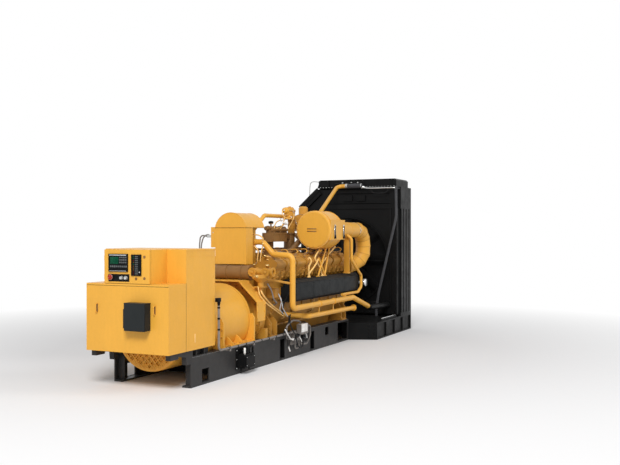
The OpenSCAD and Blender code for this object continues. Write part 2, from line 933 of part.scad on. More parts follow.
module coupling_guard() {
    skirt_z = 648;
    color(yellow)
        prism_x(x_guard, x_fly)
            difference() {
                guard_line(0);
                guard_line(guard_t);
                square_yz(-guard_half_w - 1, rail_h - 1, guard_half_w + 1, skirt_z);
            }
}

// ---- Engine ----

// Half of the crankcase outline, from the pan up to the valley
half_block = [
    [290, pan_z], [330, rail_h + 90], [400, rail_h + 200], [flank_y, 720], [flank_y, 1080],
    deck_out, deck_in, [120, valley_z]
];

module block_outline() {
    n = len(half_block) - 1;
    polygon(concat(half_block, [for (i = [n : -1 : 0]) [-half_block[i].x, half_block[i].y]]));
}

module engine_block() {
    cover_w1 = 262;
    cover_h1 = 120;
    x0 = x_block + (block_l - bank_n * bank_pitch) / 2 + bank_pitch / 2;
    color(yellow) {
        prism_x(x_block, x_block_end) block_outline();
        both_sides() {
            // round-cornered inspection covers, one to a cylinder
            for (i = [0 : bank_n - 1])
                translate([x0 + i * bank_pitch, -flank_y + 1, 730])
                    rotate([90, 0, 0])
                    linear_extrude(15)
                    rounded_top(cover_w1, cover_h1, 40);
            // pan rail
            block([x_block, -400, rail_h + 120], [x_block_end, -330, rail_h + 146]);
            // ribs between the cylinders
            for (i = [1 : bank_n - 1])
                block([x0 + (i - 0.5) * bank_pitch - 9, -flank_y - rib_d, 900],
                      [x0 + (i - 0.5) * bank_pitch + 9, -flank_y + 1, 1076]);
        }
        // cover along the valley
        translate([0, 0, valley_z]) prism_x(x_block + 470, x_block_end - 160) rounded_top(200, valley_h, 50);
        // actuator box on the near flank, beside the pipe from the air box
        block([x_block + 90, -610, 950], [x_block + 230, -flank_y + 1, 1080]);
    }
}

module flywheel_housing() {
    color(yellow) {
        difference() {
            prism_x(x_fly, x_block)
                union() {
                    translate([0, shaft_z]) circle(r = 500);
                    square_yz(-470, shaft_z, 470, shaft_z + 440);
                    square_yz(-320, shaft_z, 320, shaft_z + 535);
                }
            bar_x(x_fly - 1, x_fly + 60, 400, 0, shaft_z);
        }
        // feet that stand on the rails
        both_sides()
            block([x_fly + 40, -rail_y + 20, rail_h], [x_fly + 110, -380, rail_h + 150]);
    }
}

module engine_feet() {
    sole_t = 24;
    in_y = -300;
    color(yellow)
        both_sides()
            difference() {
                for (x = [x_block + 60, x_block_end - 460]) {
                    block([x, -rail_y + 10, rail_h], [x + 200, in_y, rail_h + sole_t]);
                    for (dx = [0, 200 - sole_t])
                        prism_x(x + dx, x + dx + sole_t)
                            polygon([
                                [-rail_y + 20, rail_h + 20], [-rail_y + 20, rail_h + 215],
                                [-flank_y - 20, rail_h + 310], [in_y, rail_h + 310], [in_y, rail_h + 20]
                            ]);
                }
                prism_x(x_block, x_block_end) offset_flank();
            }
}

// Crankcase outline with the running clearance that its feet keep, for the -Y side
module offset_flank() {
    polygon([
        [-290 - seat, pan_z], [-330 - seat, rail_h + 90], [-350, rail_h + 120 - seat],
        [-400 - seat, rail_h + 120 - seat], [-400 - seat, rail_h + 200], [-flank_y - seat, 720],
        [-flank_y - seat, 1080], [0, 1080], [0, pan_z]
    ]);
}

module front_housing() {
    color(yellow) {
        bar_x(x_block_end, x_block_end + 90, 400, 0, shaft_z + 60);
        bar_x(x_block_end + 90, x_block_end + 200, 190, 0, shaft_z);
        prism_x(x_block_end, x_block_end + 260)
            difference() {
                square_yz(-130, shaft_z + 420, 130, fan_z + 90);
                translate([0, fan_z]) circle(r = 45 + seat);
            }
        // compressor that the inlet duct feeds
        bar_x(x_block_end, x_comp, 95, comp_y, comp_z);
        bar_x(x_comp, x_comp + comp_l, 195, comp_y, comp_z);
        bar_x(x_comp + comp_l, x_comp_end, 172, comp_y, comp_z);
        // its outlet, a short stub upwards
        translate([x_comp + comp_l / 2, comp_y + 120, comp_z]) cylinder(h = 240, r = 48);
    }
}

// One head with its rocker cover, its deck face at z = 0 and its middle at x = 0
module head() {
    l = bank_pitch - 24;
    fin_r = 36;
    block([-l / 2, -head_w / 2, 0], [l / 2, head_w / 2, head_h]);
    // bolt bosses standing up the outer side
    for (x = [-l / 4, l / 4])
        translate([x, -head_w / 2, 0]) cylinder(h = head_h, r = fin_r);
    // rocker cover with a flange and a rounded top
    translate([0, 0, head_h]) {
        block([-l / 2 + 6, -head_w / 2 + 12, 0], [l / 2 - 6, head_w / 2 - 12, 14]);
        prism_x(-l / 2 + 18, l / 2 - 18) rounded_top(head_w - 50, rocker_h, 52);
        bar_x(-l / 2 + 60, l / 2 - 60, 22, 0, rocker_h);
    }
}

module bank() {
    x0 = x_block + (block_l - bank_n * bank_pitch) / 2 + bank_pitch / 2;
    for (i = [0 : bank_n - 1])
        translate([x0 + i * bank_pitch, 0, shaft_z])
            rotate([bank_tilt, 0, 0])
            translate([0, 0, deck_r + seat])
            head();
}

module heads_right() { color(yellow) bank(); }
module heads_left() { color(yellow) mirror([0, 1, 0]) bank(); }

module side_box() {
    x1 = x_block_end - 110;
    z0 = 860;
    z1 = z0 + side_box_h;
    out = -flank_y - side_box_d;
    color("#2b2d30")
        difference() {
            prism_x(x1 - side_box_l, x1)
                polygon([
                    [-flank_y - rib_d - seat, z0], [out + 36, z0], [out, z0 + 36], [out, z1 - 50],
                    [out + 50, z1], [-flank_y - 60, z1], [-flank_y - 60, 1080],
                    [-flank_y - rib_d - seat, 1080]
                ]);
            // joints between the cover panels
            for (i = [1 : 3])
                block([x1 - i * side_box_l / 4 - 2, out - 1, z0 - 1],
                      [x1 - i * side_box_l / 4 + 2, out + 4, z1 + 1]);
        }
}

module side_box_right() { side_box(); }
module side_box_left() { mirror([0, 1, 0]) side_box(); }

// Drum across the set under the air box, on two saddles
module heat_exchanger() {
    x = x_fly + 36;
    r = 100;
    flange_t = 12;
    z = fly_top + r + 15;
    color(yellow) {
        bar_y(-330, 290, r, x, z);
        for (y = [-336, -206, 40, 284])
            bar_y(y, y + flange_t, r + 11, x, z);
        for (y = [-170, 180])
            block([x - 30, y, fly_top + seat], [x + 40, y + 30, z - r / 2]);
    }
}

module air_box() {
    w = air_box_w / 2;
    fold = 8;
    color(yellow) {
        block([x_box, -w, box_z], [x_box_end, w, spring_z - fold]);
        // folded edge between the box and its hood
        block([x_box - 6, -w - 6, spring_z - fold], [x_hood_end, w + 6, spring_z]);
        intersection() {
            bar_x(x_box, x_hood_end, hood_r, 0, spring_z + arch_rise - hood_r);
            block([x_box - 1, -w, spring_z], [x_hood_end + 1, w, spring_z + arch_rise + 1]);
        }
        // neck that carries the hood on the engine, with a flange at its foot
        block([x_box_end, -neck_w / 2, valley_z], [x_hood_end, neck_w / 2, spring_z - fold]);
        block([x_box_end - 20, -neck_w / 2, valley_z], [x_hood_end + 20, neck_w / 2, valley_z + 16]);
        // side flange with a bolt hole
        difference() {
            block([x_box + 10, w, box_z + 240], [x_box + 16, w + 80, spring_z]);
            bar_x(x_box + 9, x_box + 17, 10, w + 48, box_z + 460);
        }
    }
}

module gas_regulator() {
    x = x_fly - 25;
    y = -520;
    z = 1335;
    half = 70;
    color(yellow) {
        for (dy = [-105, 105]) {
            bar_x(x - half, x + half, 56, y + dy, z);
            for (dx = [-half, half - 16])
                bar_x(x + dx, x + dx + 16, 64, y + dy, z);
        }
        // cross pipe with the open gas inlet at its outer end
        difference() {
            union() {
                bar_y(inlet_y, y + 160, 48, x, z);
                bar_y(inlet_y, inlet_y + 18, 66, x, z);
            }
            bar_y(inlet_y - 1, inlet_y + 45, inlet_r, x, z);
        }
        // bowl and stem
        translate([x, y, z - 145]) cylinder(h = 60, r1 = 50, r2 = 124);
        translate([x, y, z - 85]) cylinder(h = 50, r = 124);
        translate([x, y, fly_step + seat]) cylinder(h = z - 145 - fly_step, r = 44);
        // bracket on the shoulder of the flywheel housing
        block([x - 50, y - 50, fly_step + seat], [x_fly + 70, -430, fly_step + 16]);
        // arm to the pipe from the air box
        difference() {
            bar([x + 60, y - 20, z - 100], [x_cool, coolant_y, z - 185], 18);
            translate([x_cool, coolant_y, z - 300]) cylinder(h = 250, r = coolant_d / 2 + seat);
        }
    }
}

module intake_plenum() {
    box_lo = 1755;
    box_hi = 1895;
    mid_x = 460;
    mid_y = -60;
    color(yellow) {
        difference() {
            block([-330, -170, box_lo], [160, 20, box_hi]);
            // shallow panels in its near side
            for (x = [-310, -80])
                block([x, -171, box_lo + 20], [x + 210, -166, box_hi - 20]);
        }
        block([-200, -50, valley_top], [-80, 40, box_lo]);
        block([-220, -60, valley_top], [-60, 50, valley_top + 16]);
        block([160, -110, box_lo + 35], [mid_x, -10, box_hi - 25]);
        // upright filter can
        translate([mid_x, mid_y, valley_top]) cylinder(h = 150, r = 66);
        translate([mid_x, mid_y, 1590]) cylinder(h = 20, r = 106);
        translate([mid_x, mid_y, 1610]) cylinder(h = 260, r = 88);
        translate([mid_x, mid_y, 1870]) cylinder(h = 24, r = 106);
        // pipes and a valve on top of the box
        bar_x(-300, 350, 34, -30, box_hi + 70);
        bar_x(-260, 260, 22, -120, box_hi + 50);
        for (x = [-240, -20, 200]) {
            block([x, -140, box_hi - 1], [x + 24, 0, box_hi + 44]);
            bar_x(x - 6, x + 30, 42, -30, box_hi + 70);
        }
        translate([-130, -30, box_hi + 70]) cylinder(h = 80, r = 12);
        translate([-130, -30, box_hi + 140]) cylinder(h = 20, r = 36);
        // crossover pipe towards the compressor side
        pipe([
            [130, -120, valley_top + 60], [170, -230, 1590], [560, -230, 1790], [760, -60, 1850]
        ], 46, 110);
        block([60, -140, valley_top], [200, -35, valley_top + 110]);
    }
}

module turbocharger() {
    z = 2060;
    neck_x = 660;
    color(yellow) {
        // upright neck and the can on top of it, where the mixture pipe ends
        translate([neck_x, 0, valley_top]) cylinder(h = 2116 - valley_top, r = 60);
        translate([neck_x, 0, valley_top]) cylinder(h = 18, r = 90);
        translate([can_x, 0, 2116]) cylinder(h = 16, r = can_r + 8);
        translate([can_x, 0, 2132]) cylinder(h = 130, r = can_r);
        translate([can_x, 0, 2262]) cylinder(h = 16, r = can_r + 6);
        translate([can_x, 0, 2278]) cylinder(h = 44, r1 = can_r - 4, r2 = 56);
        translate([can_x, 0, 2322]) cylinder(h = 14, r = 22);
        bar_x(neck_x, 900, 56, 0, z);
        // compressor volute, bearing housing and turbine
        bar_x(900, 930, 110, -40, z);
        bar_x(930, 1070, 150, -40, z);
        bar_x(1070, 1180, 80, -40, z);
        bar_x(1180, 1400, 140, -40, z);
        bar_x(1400, 1420, 100, -40, z);
        translate([1130, 0, z]) cylinder(h = 250, r = 44);
        translate([1130, 0, z + 150]) cylinder(h = 110, r = 80);
        translate([1130, 0, z + 260]) cylinder(h = 30, r1 = 80, r2 = 50);
        block([1250, -80, valley_top], [1330, 0, z - 100]);
        // exhaust outlet with its flange
        difference() {
            union() {
                bar_y(0, outlet_y, 100, outlet_x, z);
                bar_y(outlet_y - 20, outlet_y, 140, outlet_x, z);
            }
            bar_y(outlet_y - 99, outlet_y + 1, outlet_r, outlet_x, z);
            for (i = [0 : 7])
                bar_y(outlet_y - 30, outlet_y + 1, 8, outlet_x + 120 * cos(i * 45), z + 120 * sin(i * 45));
        }
    }
}

module air_canister() {
    x1 = x_drum + canister_l;
    edge = 22;
    rod_y = -canister_y - 60;
    // top X, top Z and foot X of each brace rod
    rods = [[640, 1680, 300], [330, 1480, 560], [760, 1680, 560]];
    color(yellow) {
        // drum with chamfered ends and a clamped front cover
        bar_x(x_drum + edge, x1 - edge, canister_r, -canister_y, canister_z);
        drum_end(x_drum, edge, canister_r - 20, canister_r);
        drum_end(x1 - edge, edge, canister_r, canister_r - 30);
        for (x = [x_drum + 78, x1 - 70])
            bar_x(x, x + 14, canister_r + 6, -canister_y, canister_z);
        // raised bars across the front cover
        for (z = [-32, 6])
            block([x_drum - 5, -canister_y - 90, canister_z + z],
                  [x_drum + 2, -canister_y + 90, canister_z + z + 10]);
        // service pad on the near side
        block([x_drum + 26, -canister_y - canister_r - 4, canister_z - 160],
              [x1 + 40, -canister_y - canister_r + 90, canister_z + 160]);
        // rods that brace the drum on the side box
        for (e = rods)
            rod([e.x, rod_y, e.y], [e.z, rod_y, side_top]);
    }
}

module drum_end(x, l, r1, r2) {
    translate([x, -canister_y, canister_z]) rotate([0, 90, 0]) cylinder(h = l, r1 = r1, r2 = r2);
}

// Thin brace rod that stands on a small foot
module rod(a, b) {
    bar(a, b + [0, 0, 12], 14);
    block([b.x - 30, b.y - 24, b.z + seat], [b.x + 30, b.y + 24, b.z + 14]);
}

module inlet_duct() {
    x0 = x_drum + canister_l + seat;
    x1 = x0 + duct_l;
    y = -canister_y;
    z = canister_z;
    // points of the elbow, which is welded up from short straight sections
    knee = [x1 + 170, y + 150, z - 625];
    mouth = [x_comp_end, comp_y, comp_z];
    route = [
        [x0, y, z], [x1, y, z], [x1 + 165, y, z - 45], [x1 + 262, y, z - 150], [x1 + 300, y, z - 290],
        [x1 + 300, y + 8, z - 430], [x1 + 262, y + 60, z - 545], knee, mouth + unit(mouth - knee) * 90
    ];
    last = len(route) - 1;
    strut_x = 1500;
    color(yellow) {
        difference() {
            for (i = [0 : last - 1])
                bar(route[i], route[i + 1], duct_r);
            // the last section is cut flat at the compressor
            block([x_comp_end - 400, comp_y - 400, comp_z - 400],
                  [x_comp_end + seat, comp_y + 400, comp_z + 400]);
        }
        // weld seams of the elbow
        for (i = [1 : last - 1])
            translate(route[i]) sphere(r = duct_r + seam_h);
        // collar at the drum
        bar_x(x0, x0 + 30, duct_r + 10, y, z);
        // strut on the side box
        block([strut_x, y - 110, side_top + seat], [strut_x + 14, y - 8, z - duct_r + 8]);
        block([strut_x - 40, y - 110, side_top + seat], [strut_x + 54, y - 8, side_top + 14]);
        // sensor on the outside of the elbow
        bar([x1 + 290, y, z - 330], [x1 + 480, y, z - 300], 16);
        bar([x1 + 480, y, z - 300], [x1 + 500, y, z - 250], 26);
    }
}

module coolant_pipe() {
    y = coolant_y;
    r = coolant_d / 2;
    start_z = box_z + 320;
    color(yellow) {
        pipe([
            [x_cool, -neck_w / 2 - seat, start_z], [x_cool, -330, start_z],
            [x_cool, -500, start_z - 180], [x_cool, y, start_z - 200], [x_cool, y, coolant_z],
            cool_end - [720, 0, -205], cool_end
        ], r, 85);
        // flared fitting on the neck of the air box
        translate([x_cool, -neck_w / 2 - seat, start_z]) rotate([90, 0, 0]) cylinder(h = 14, r = 78);
        translate([x_cool, -neck_w / 2 - seat, start_z]) rotate([90, 0, 0]) cylinder(h = 110, r1 = 66, r2 = r + 3);
        // clamps that also carry the lower pipe
        for (x = strap_xs) {
            bar_x(x - 14, x + 14, r + 6, y, coolant_z);
            block([x - 12, y + 4, lower_z + 60], [x + 12, y + 16, coolant_z - r + 4]);
        }
    }
}

module lower_pipe() {
    y = lower_y;
    r = lower_d / 2;
    x1 = x_block_end - 480;
    color(yellow) {
        difference() {
            pipe([[-600, -380, lower_z + 60], [-330, y, lower_z + 20], [x1, y, lower_z]], r, 90);
            prism_x(-900, -300) offset_flank();
        }
        bar_x(x1, x1 + 16, r + 18, y, lower_z);
        // saddle plates under the clamps of the pipe above
        for (x = strap_xs)
            block([x - 20, y - 20, lower_z + 30], [x + 20, y - 12, lower_z + 60 - seat]);
    }
}

module engine_tubes() {
    r = mixture_d / 2;
    mix_z = 2165;
    drop_x = 1430;
    y = -780;
    clip_z = coolant_z + coolant_d / 2 + seat;
    color(yellow) {
        // mixture pipe from the hood to the can
        difference() {
            pipe([
                [x_hood_end - 60, -100, mix_z - 237], [x_hood_end + 310, -100, mix_z], [can_x - 30, -6, mix_z]
            ], r, 90);
            block([x_hood_end - 200, -300, box_z], [x_hood_end + seat, 300, mix_z]);
            translate([can_x, 0, mix_z - 100]) cylinder(h = 200, r = can_r + seat);
        }
        // breather tube from the duct down to the coolant pipe
        difference() {
            pipe([
                [drop_x, -640, 1900], [drop_x, y, 1790], [drop_x, y, 1425], [drop_x + 450, y, 1140],
                [drop_x + 450, y, 940], [drop_x + 290, y, 858], [drop_x - 420, y, 858]
            ], breather_d / 2, 60);
            bar_x(drop_x - 200, drop_x + 200, duct_r + seat, -canister_y, canister_z);
        }
        block([drop_x - 400, y - 46, clip_z], [drop_x - 370, y + 4, clip_z + 20]);
    }
}

module riser_pipe() {
    x0 = x_block_end - 60;
    color(yellow) {
        pipe([
            [x0, 20, valley_z + seat], [x0, 20, 2270], [hose_x, 176, hose_z], [hose_x, hose_y, hose_z]
        ], riser_d / 2, 90);
        translate([x0, 20, valley_z + seat]) cylinder(h = 18, r = riser_d / 2 + 18);
        bar_y(hose_y, hose_y + 16, riser_d / 2 + 8, hose_x, hose_z);
    }
}

module vent_line() {
    x = x_shroud - 60;
    y = -base_y + shroud_inset;
    r = vent_d / 2;
    color(black) {
        pipe([
            [x, y, rad_top - 2], [x, y - 10, rad_top - 576], [x, y + 350, 720], [x, y + 390, base_h + 120],
            [x, y + 390, base_h + seat]
        ], r, 500);
        translate([x, y, rad_top - 60]) cylinder(h = 66, r = r + 8);
        // fitting that holds it on the frame
        bar_x(x, x_rad - seat, 10, y - 16, rad_top - 30);
        // rubber hose on the end of the pipe from the engine
        bar_y(hose_y - 330, hose_y - seat, riser_d / 2 + 6, hose_x, hose_z);
        for (d = [-310, -50])
            bar_y(hose_y + d, hose_y + d + 20, riser_d / 2 + 11, hose_x, hose_z);
    }
}

module rail_unit() {
    x = -2170;
    y = -rail_y - seat;
    color(black) {
        block([x - 20, y - 12, 60], [x + 290, y, 340]);
        block([x, y - 130, 85], [x + 270, y, 265]);
        block([x + 20, y - 146, 105], [x + 250, y - 129, 245]);
        // upright can and its hose
        translate([x + 130, y - 72, 265]) cylinder(h = 92, r = 36);
        translate([x + 130, y - 72, 357]) cylinder(h = 14, r = 26);
        pipe([
            [x + 220, y - 72, 262], [x + 220, y - 72, 350], [x + 320, y - 72, 350],
            [x + 320, y - 72, 200], [x + 260, y - 72, 200]
        ], 15, 34);
    }
}

module harness() {
    y = -rail_y - seat;
    x = -560;
    conduit_y = -cab_w / 2 - 30;
    conduit_x = x_tall_end + 40;
    top = rail_h + 20;
    color(grey) {
        // plate on the rail with the junction block and the plug box
        block([x, y - 12, 190], [x + 430, y, 400]);
        block([x + 20, y - 70, 250], [x + 330, y, 380]);
        block([x + 110, y - 140, 350], [x + 360, y - 60, 500]);
        // conduit from the cabinets along the rail
        pipe([
            [conduit_x, conduit_y, 1050], [conduit_x, conduit_y, top], [x + 30, conduit_y, top]
        ], conduit_d / 2, 60);
        block([x, conduit_y - 20, 360], [x + 60, y, top + 20]);
        for (cx = [conduit_x + 260, conduit_x + 900, conduit_x + 1500])
            block([cx, conduit_y - 18, top - 40], [cx + 24, y, top - 8]);
        // cable loops
        pipe([
            [x + 60, y - 40, 300], [x - 180, y - 40, 300], [x - 220, y - 50, 500],
            [x - 20, y - 60, 575], [x + 180, y - 90, 545], [x + 180, y - 100, 450]
        ], 13, 55);
        pipe([
            [x + 340, y - 100, 450], [x + 500, y - 100, 450], [x + 540, y - 90, 300],
            [x + 460, y - 70, 170], [x + 300, y - 40, 170], [x + 300, y - 40, 300]
        ], 13, 45);
        pipe([
            [x + 100, y - 45, 280], [x + 80, y - 45, 130], [x + 220, y - 45, 130], [x + 220, y - 45, 280]
        ], 11, 40);
    }
}

rail_left();
rail_right();
cross_member_rear();
cross_member_middle();
cross_member_front();
radiator_base();
radiator_frame();
radiator_core();
top_tank();
fan_shroud();
fan();
lower_cabinet();
tall_cabinet();
cabinet_brackets();
vent_cover();
control_housing();
control_door();
display_module();
alarm_strip();
stop_button();
volt_knob();
speed_knob();
generator_frame();
inlet_grille();
generator_feet();
coupling_guard();
flywheel_housing();
engine_block();
engine_feet();
front_housing();
heads_left();
heads_right();
side_box_left();
side_box_right();
heat_exchanger();
air_box();
gas_regulator();
intake_plenum();
turbocharger();
air_canister();
inlet_duct();
coolant_pipe();
lower_pipe();
engine_tubes();
riser_pipe();
vent_line();
rail_unit();
harness();
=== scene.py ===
"""Looks of the gas generator set: finishes, fittings, wiring, camera and light.

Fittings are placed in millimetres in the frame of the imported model, mostly from
the boxes of the CAD nodes; materials, camera and lamps are in Blender's metres.
"""
import json
import math

import bmesh
import bpy
from mathutils import Matrix, Vector


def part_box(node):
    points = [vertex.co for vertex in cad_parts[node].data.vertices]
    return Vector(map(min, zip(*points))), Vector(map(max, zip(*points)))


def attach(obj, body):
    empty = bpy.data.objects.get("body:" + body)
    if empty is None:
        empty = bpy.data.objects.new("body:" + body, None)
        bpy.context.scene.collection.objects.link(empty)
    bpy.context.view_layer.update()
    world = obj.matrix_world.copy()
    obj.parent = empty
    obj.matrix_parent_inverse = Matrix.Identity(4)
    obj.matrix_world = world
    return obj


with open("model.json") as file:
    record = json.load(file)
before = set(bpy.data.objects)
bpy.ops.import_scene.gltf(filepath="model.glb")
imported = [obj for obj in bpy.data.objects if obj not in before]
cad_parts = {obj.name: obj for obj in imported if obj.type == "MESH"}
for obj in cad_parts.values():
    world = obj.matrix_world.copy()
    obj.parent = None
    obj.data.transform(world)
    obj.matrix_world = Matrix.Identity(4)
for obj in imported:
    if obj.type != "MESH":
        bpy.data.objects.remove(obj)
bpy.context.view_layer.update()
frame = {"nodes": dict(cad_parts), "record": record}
NODES = frame["nodes"]
MM = 0.001
X, Y, Z = Vector((1, 0, 0)), Vector((0, 1, 0)), Vector((0, 0, 1))


def lo(node):
    return Vector(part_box(node)[0]) / MM


def hi(node):
    return Vector(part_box(node)[1]) / MM


def mid(node):
    return (lo(node) + hi(node)) / 2


# ---------------------------------------------------------------- materials

def material(name, metallic=0.0, roughness=0.5, specular=0.5):
    """New node material with its shader, and the tree to wire it in."""
    m = bpy.data.materials.new(name)
    m.use_nodes = True
    tree = m.node_tree
    tree.nodes.clear()
    out = tree.nodes.new("ShaderNodeOutputMaterial")
    shader = tree.nodes.new("ShaderNodeBsdfPrincipled")
    shader.inputs["Metallic"].default_value = metallic
    shader.inputs["Roughness"].default_value = roughness
    shader.inputs["Specular IOR Level"].default_value = specular
    tree.links.new(shader.outputs[0], out.inputs[0])
    return m, tree, shader


def coords(tree, stretch=(1, 1, 1)):
    """Object space in metres, stretched along an axis if asked."""
    source = tree.nodes.new("ShaderNodeTexCoord")
    mapping = tree.nodes.new("ShaderNodeMapping")
    mapping.inputs["Scale"].default_value = stretch
    tree.links.new(source.outputs["Object"], mapping.inputs[0])
    return mapping.outputs[0]


def noise(tree, scale, detail=4.0, rough=0.55, stretch=(1, 1, 1)):
    tex = tree.nodes.new("ShaderNodeTexNoise")
    tex.inputs["Scale"].default_value = scale
    tex.inputs["Detail"].default_value = detail
    tex.inputs["Roughness"].default_value = rough
    tree.links.new(coords(tree, stretch), tex.inputs["Vector"])
    return tex.outputs["Fac"]


def waves(tree, scale, axis):
    """Even ridges along an axis, for fins and threads."""
    tex = tree.nodes.new("ShaderNodeTexWave")
    tex.bands_direction = axis
    tex.wave_profile = "SAW"
    tex.inputs["Scale"].default_value = scale
    tree.links.new(coords(tree), tex.inputs["Vector"])
    return tex.outputs["Fac"]


def ramp(tree, fac, stops):
    """Colour ramp; stops is a list of (place, colour)."""
    node = tree.nodes.new("ShaderNodeValToRGB")
    points = node.color_ramp.elements
    while len(points) < len(stops):
        points.new(0.5)
    for point, (place, colour) in zip(points, stops):
        point.position = place
        point.color = (*colour, 1.0)
    tree.links.new(fac, node.inputs[0])
    return node.outputs[0]


def spread(tree, fac, low, high, start=0.3, end=0.7):
    """Maps start..end onto low..high."""
    node = tree.nodes.new("ShaderNodeMapRange")
    node.inputs["From Min"].default_value = start
    node.inputs["From Max"].default_value = end
    node.inputs["To Min"].default_value = low
    node.inputs["To Max"].default_value = high
    tree.links.new(fac, node.inputs[0])
    return node.outputs[0]


def bump(tree, shader, height, strength, distance):
    node = tree.nodes.new("ShaderNodeBump")
    node.inputs["Strength"].default_value = strength
    node.inputs["Distance"].default_value = distance
    tree.links.new(height, node.inputs["Height"])
    tree.links.new(node.outputs[0], shader.inputs["Normal"])


def mixed(tree, fac, a, b, mode="MIX"):
    node = tree.nodes.new("ShaderNodeMix")
    node.data_type = "RGBA"
    node.blend_type = mode
    for socket, value in ((node.inputs[0], fac), (node.inputs[6], a), (node.inputs[7], b)):
        if isinstance(value, (tuple, float)):
            socket.default_value = (*value, 1.0) if isinstance(value, tuple) else value
        else:
            tree.links.new(value, socket)
    return node.outputs[2]


def upward(tree):
    """1 on faces that look up and 0 on the others, for settled dust."""
    geometry = tree.nodes.new("ShaderNodeNewGeometry")
    split = tree.nodes.new("ShaderNodeSeparateXYZ")
    tree.links.new(geometry.outputs["Normal"], split.inputs[0])
    return spread(tree, split.outputs[2], 0.0, 1.0, 0.55, 0.98)


def combined(tree, operation, a, b):
    """Math node on two values or sockets."""
    node = tree.nodes.new("ShaderNodeMath")
    node.operation = operation
    for socket, value in zip(node.inputs, (a, b)):
        if isinstance(value, float):
            socket.default_value = value
        else:
            tree.links.new(value, socket)
    return node.outputs[0]


def coat(tree, shader, tone, rough):
    """Wires a colour and a roughness into the shader."""
    tree.links.new(tone, shader.inputs["Base Color"])
    tree.links.new(rough, shader.inputs["Roughness"])


PURE, DUST, PRIMER = (1.0,) * 3, (0.42, 0.4, 0.37), (0.11, 0.1, 0.095)


def paint(name, colour, rough, depth=0.12, peel=0.25, grain=260.0, dust=0.1, wear_and_highlight=0.0, shine=0.35):
    """Sprayed enamel: soft tone changes, orange peel, settled dust and chipped spots."""
    m, tree, shader = material(name, roughness=rough, specular=shine)
    dark = tuple(c * (1 - depth) for c in colour)
    tone = ramp(tree, noise(tree, 2.3, 6.0), [(0.35, dark), (0.65, colour)])
    fine = ramp(tree, noise(tree, 38.0, 3.0), [(0.3, (0.965,) * 3), (0.7, PURE)])
    tone = mixed(tree, 1.0, tone, fine, "MULTIPLY")
    runs = noise(tree, 5.0, 5.0, 0.6, (6, 6, 0.7))
    streaks = ramp(tree, runs, [(0.45, (0.9,) * 3), (0.62, PURE)])
    tone = mixed(tree, 0.22, tone, streaks, "MULTIPLY")
    patches = spread(tree, noise(tree, 11.0, 5.0), 0.3, 1.0)
    veil = combined(tree, "MULTIPLY", combined(tree, "MULTIPLY", upward(tree), patches), dust)
    tone = mixed(tree, veil, tone, DUST)
    if wear_and_highlight:
        chips = spread(tree, noise(tree, 24.0, 7.0, 0.7), 0.0, wear_and_highlight, 0.66, 0.7)
        tone = mixed(tree, chips, tone, PRIMER)
    coat(tree, shader, tone, spread(tree, noise(tree, 9.0), rough - 0.07, rough + 0.09))
    bump(tree, shader, noise(tree, grain, 2.0), peel, 0.0006)
    return m


def metal(name, colour, rough, scratch=(1, 1, 1)):
    """Plated or bare metal with fine scratches and dull patches."""
    m, tree, shader = material(name, metallic=1.0, roughness=rough)
    dull = tuple(c * 0.72 for c in colour)
    tone = ramp(tree, noise(tree, 30.0, 6.0), [(0.35, dull), (0.62, colour)])
    lines = noise(tree, 160.0, 4.0, 0.6, scratch)
    coat(tree, shader, tone, spread(tree, lines, rough - 0.1, rough + 0.12))
    bump(tree, shader, noise(tree, 700.0, 3.0, 0.6, scratch), 0.2, 0.0003)
    return m


def moulded(name, colour, rough, grain=900.0, shine=0.4):
    """Moulded plastic or rubber with a fine grain and slight bloom."""
    m, tree, shader = material(name, roughness=rough, specular=shine)
    bloom = tuple(min(1.0, c * 1.25 + 0.004) for c in colour)
    tone = ramp(tree, noise(tree, 16.0, 5.0), [(0.38, colour), (0.7, bloom)])
    coat(tree, shader, tone, spread(tree, noise(tree, 40.0), rough - 0.06, rough + 0.08))
    bump(tree, shader, noise(tree, grain, 2.0), 0.25, 0.0004)
    return m


def glow(name, colour, strength, rough=0.25):
    """Lens or screen lit from behind, with a patchy tone."""
    m, tree, shader = material(name, roughness=rough, specular=0.08)
    dark = tuple(c * 0.5 for c in colour)
    tone = ramp(tree, noise(tree, 45.0, 2.0), [(0.3, dark), (0.7, colour)])
    tree.links.new(tone, shader.inputs["Base Color"])
    tree.links.new(tone, shader.inputs["Emission Color"])
    shader.inputs["Emission Strength"].default_value = strength
    bump(tree, shader, noise(tree, 500.0, 2.0), 0.1, 0.0002)
    return m


def fin_metal():
    """Radiator core: flat tubes with fine fins between them."""
    m, tree, shader = material("core_fins", metallic=0.7, roughness=0.5)
    fins = waves(tree, 60.0, "Z")
    tubes = waves(tree, 9.0, "Y")
    tone = ramp(tree, fins, [(0.2, (0.004, 0.004, 0.0045)), (0.8, (0.03, 0.03, 0.032))])
    rows = ramp(tree, tubes, [(0.1, (0.4,) * 3), (0.25, PURE)])
    tree.links.new(mixed(tree, 1.0, tone, rows, "MULTIPLY"), shader.inputs["Base Color"])
    bump(tree, shader, fins, 0.6, 0.003)
    return m


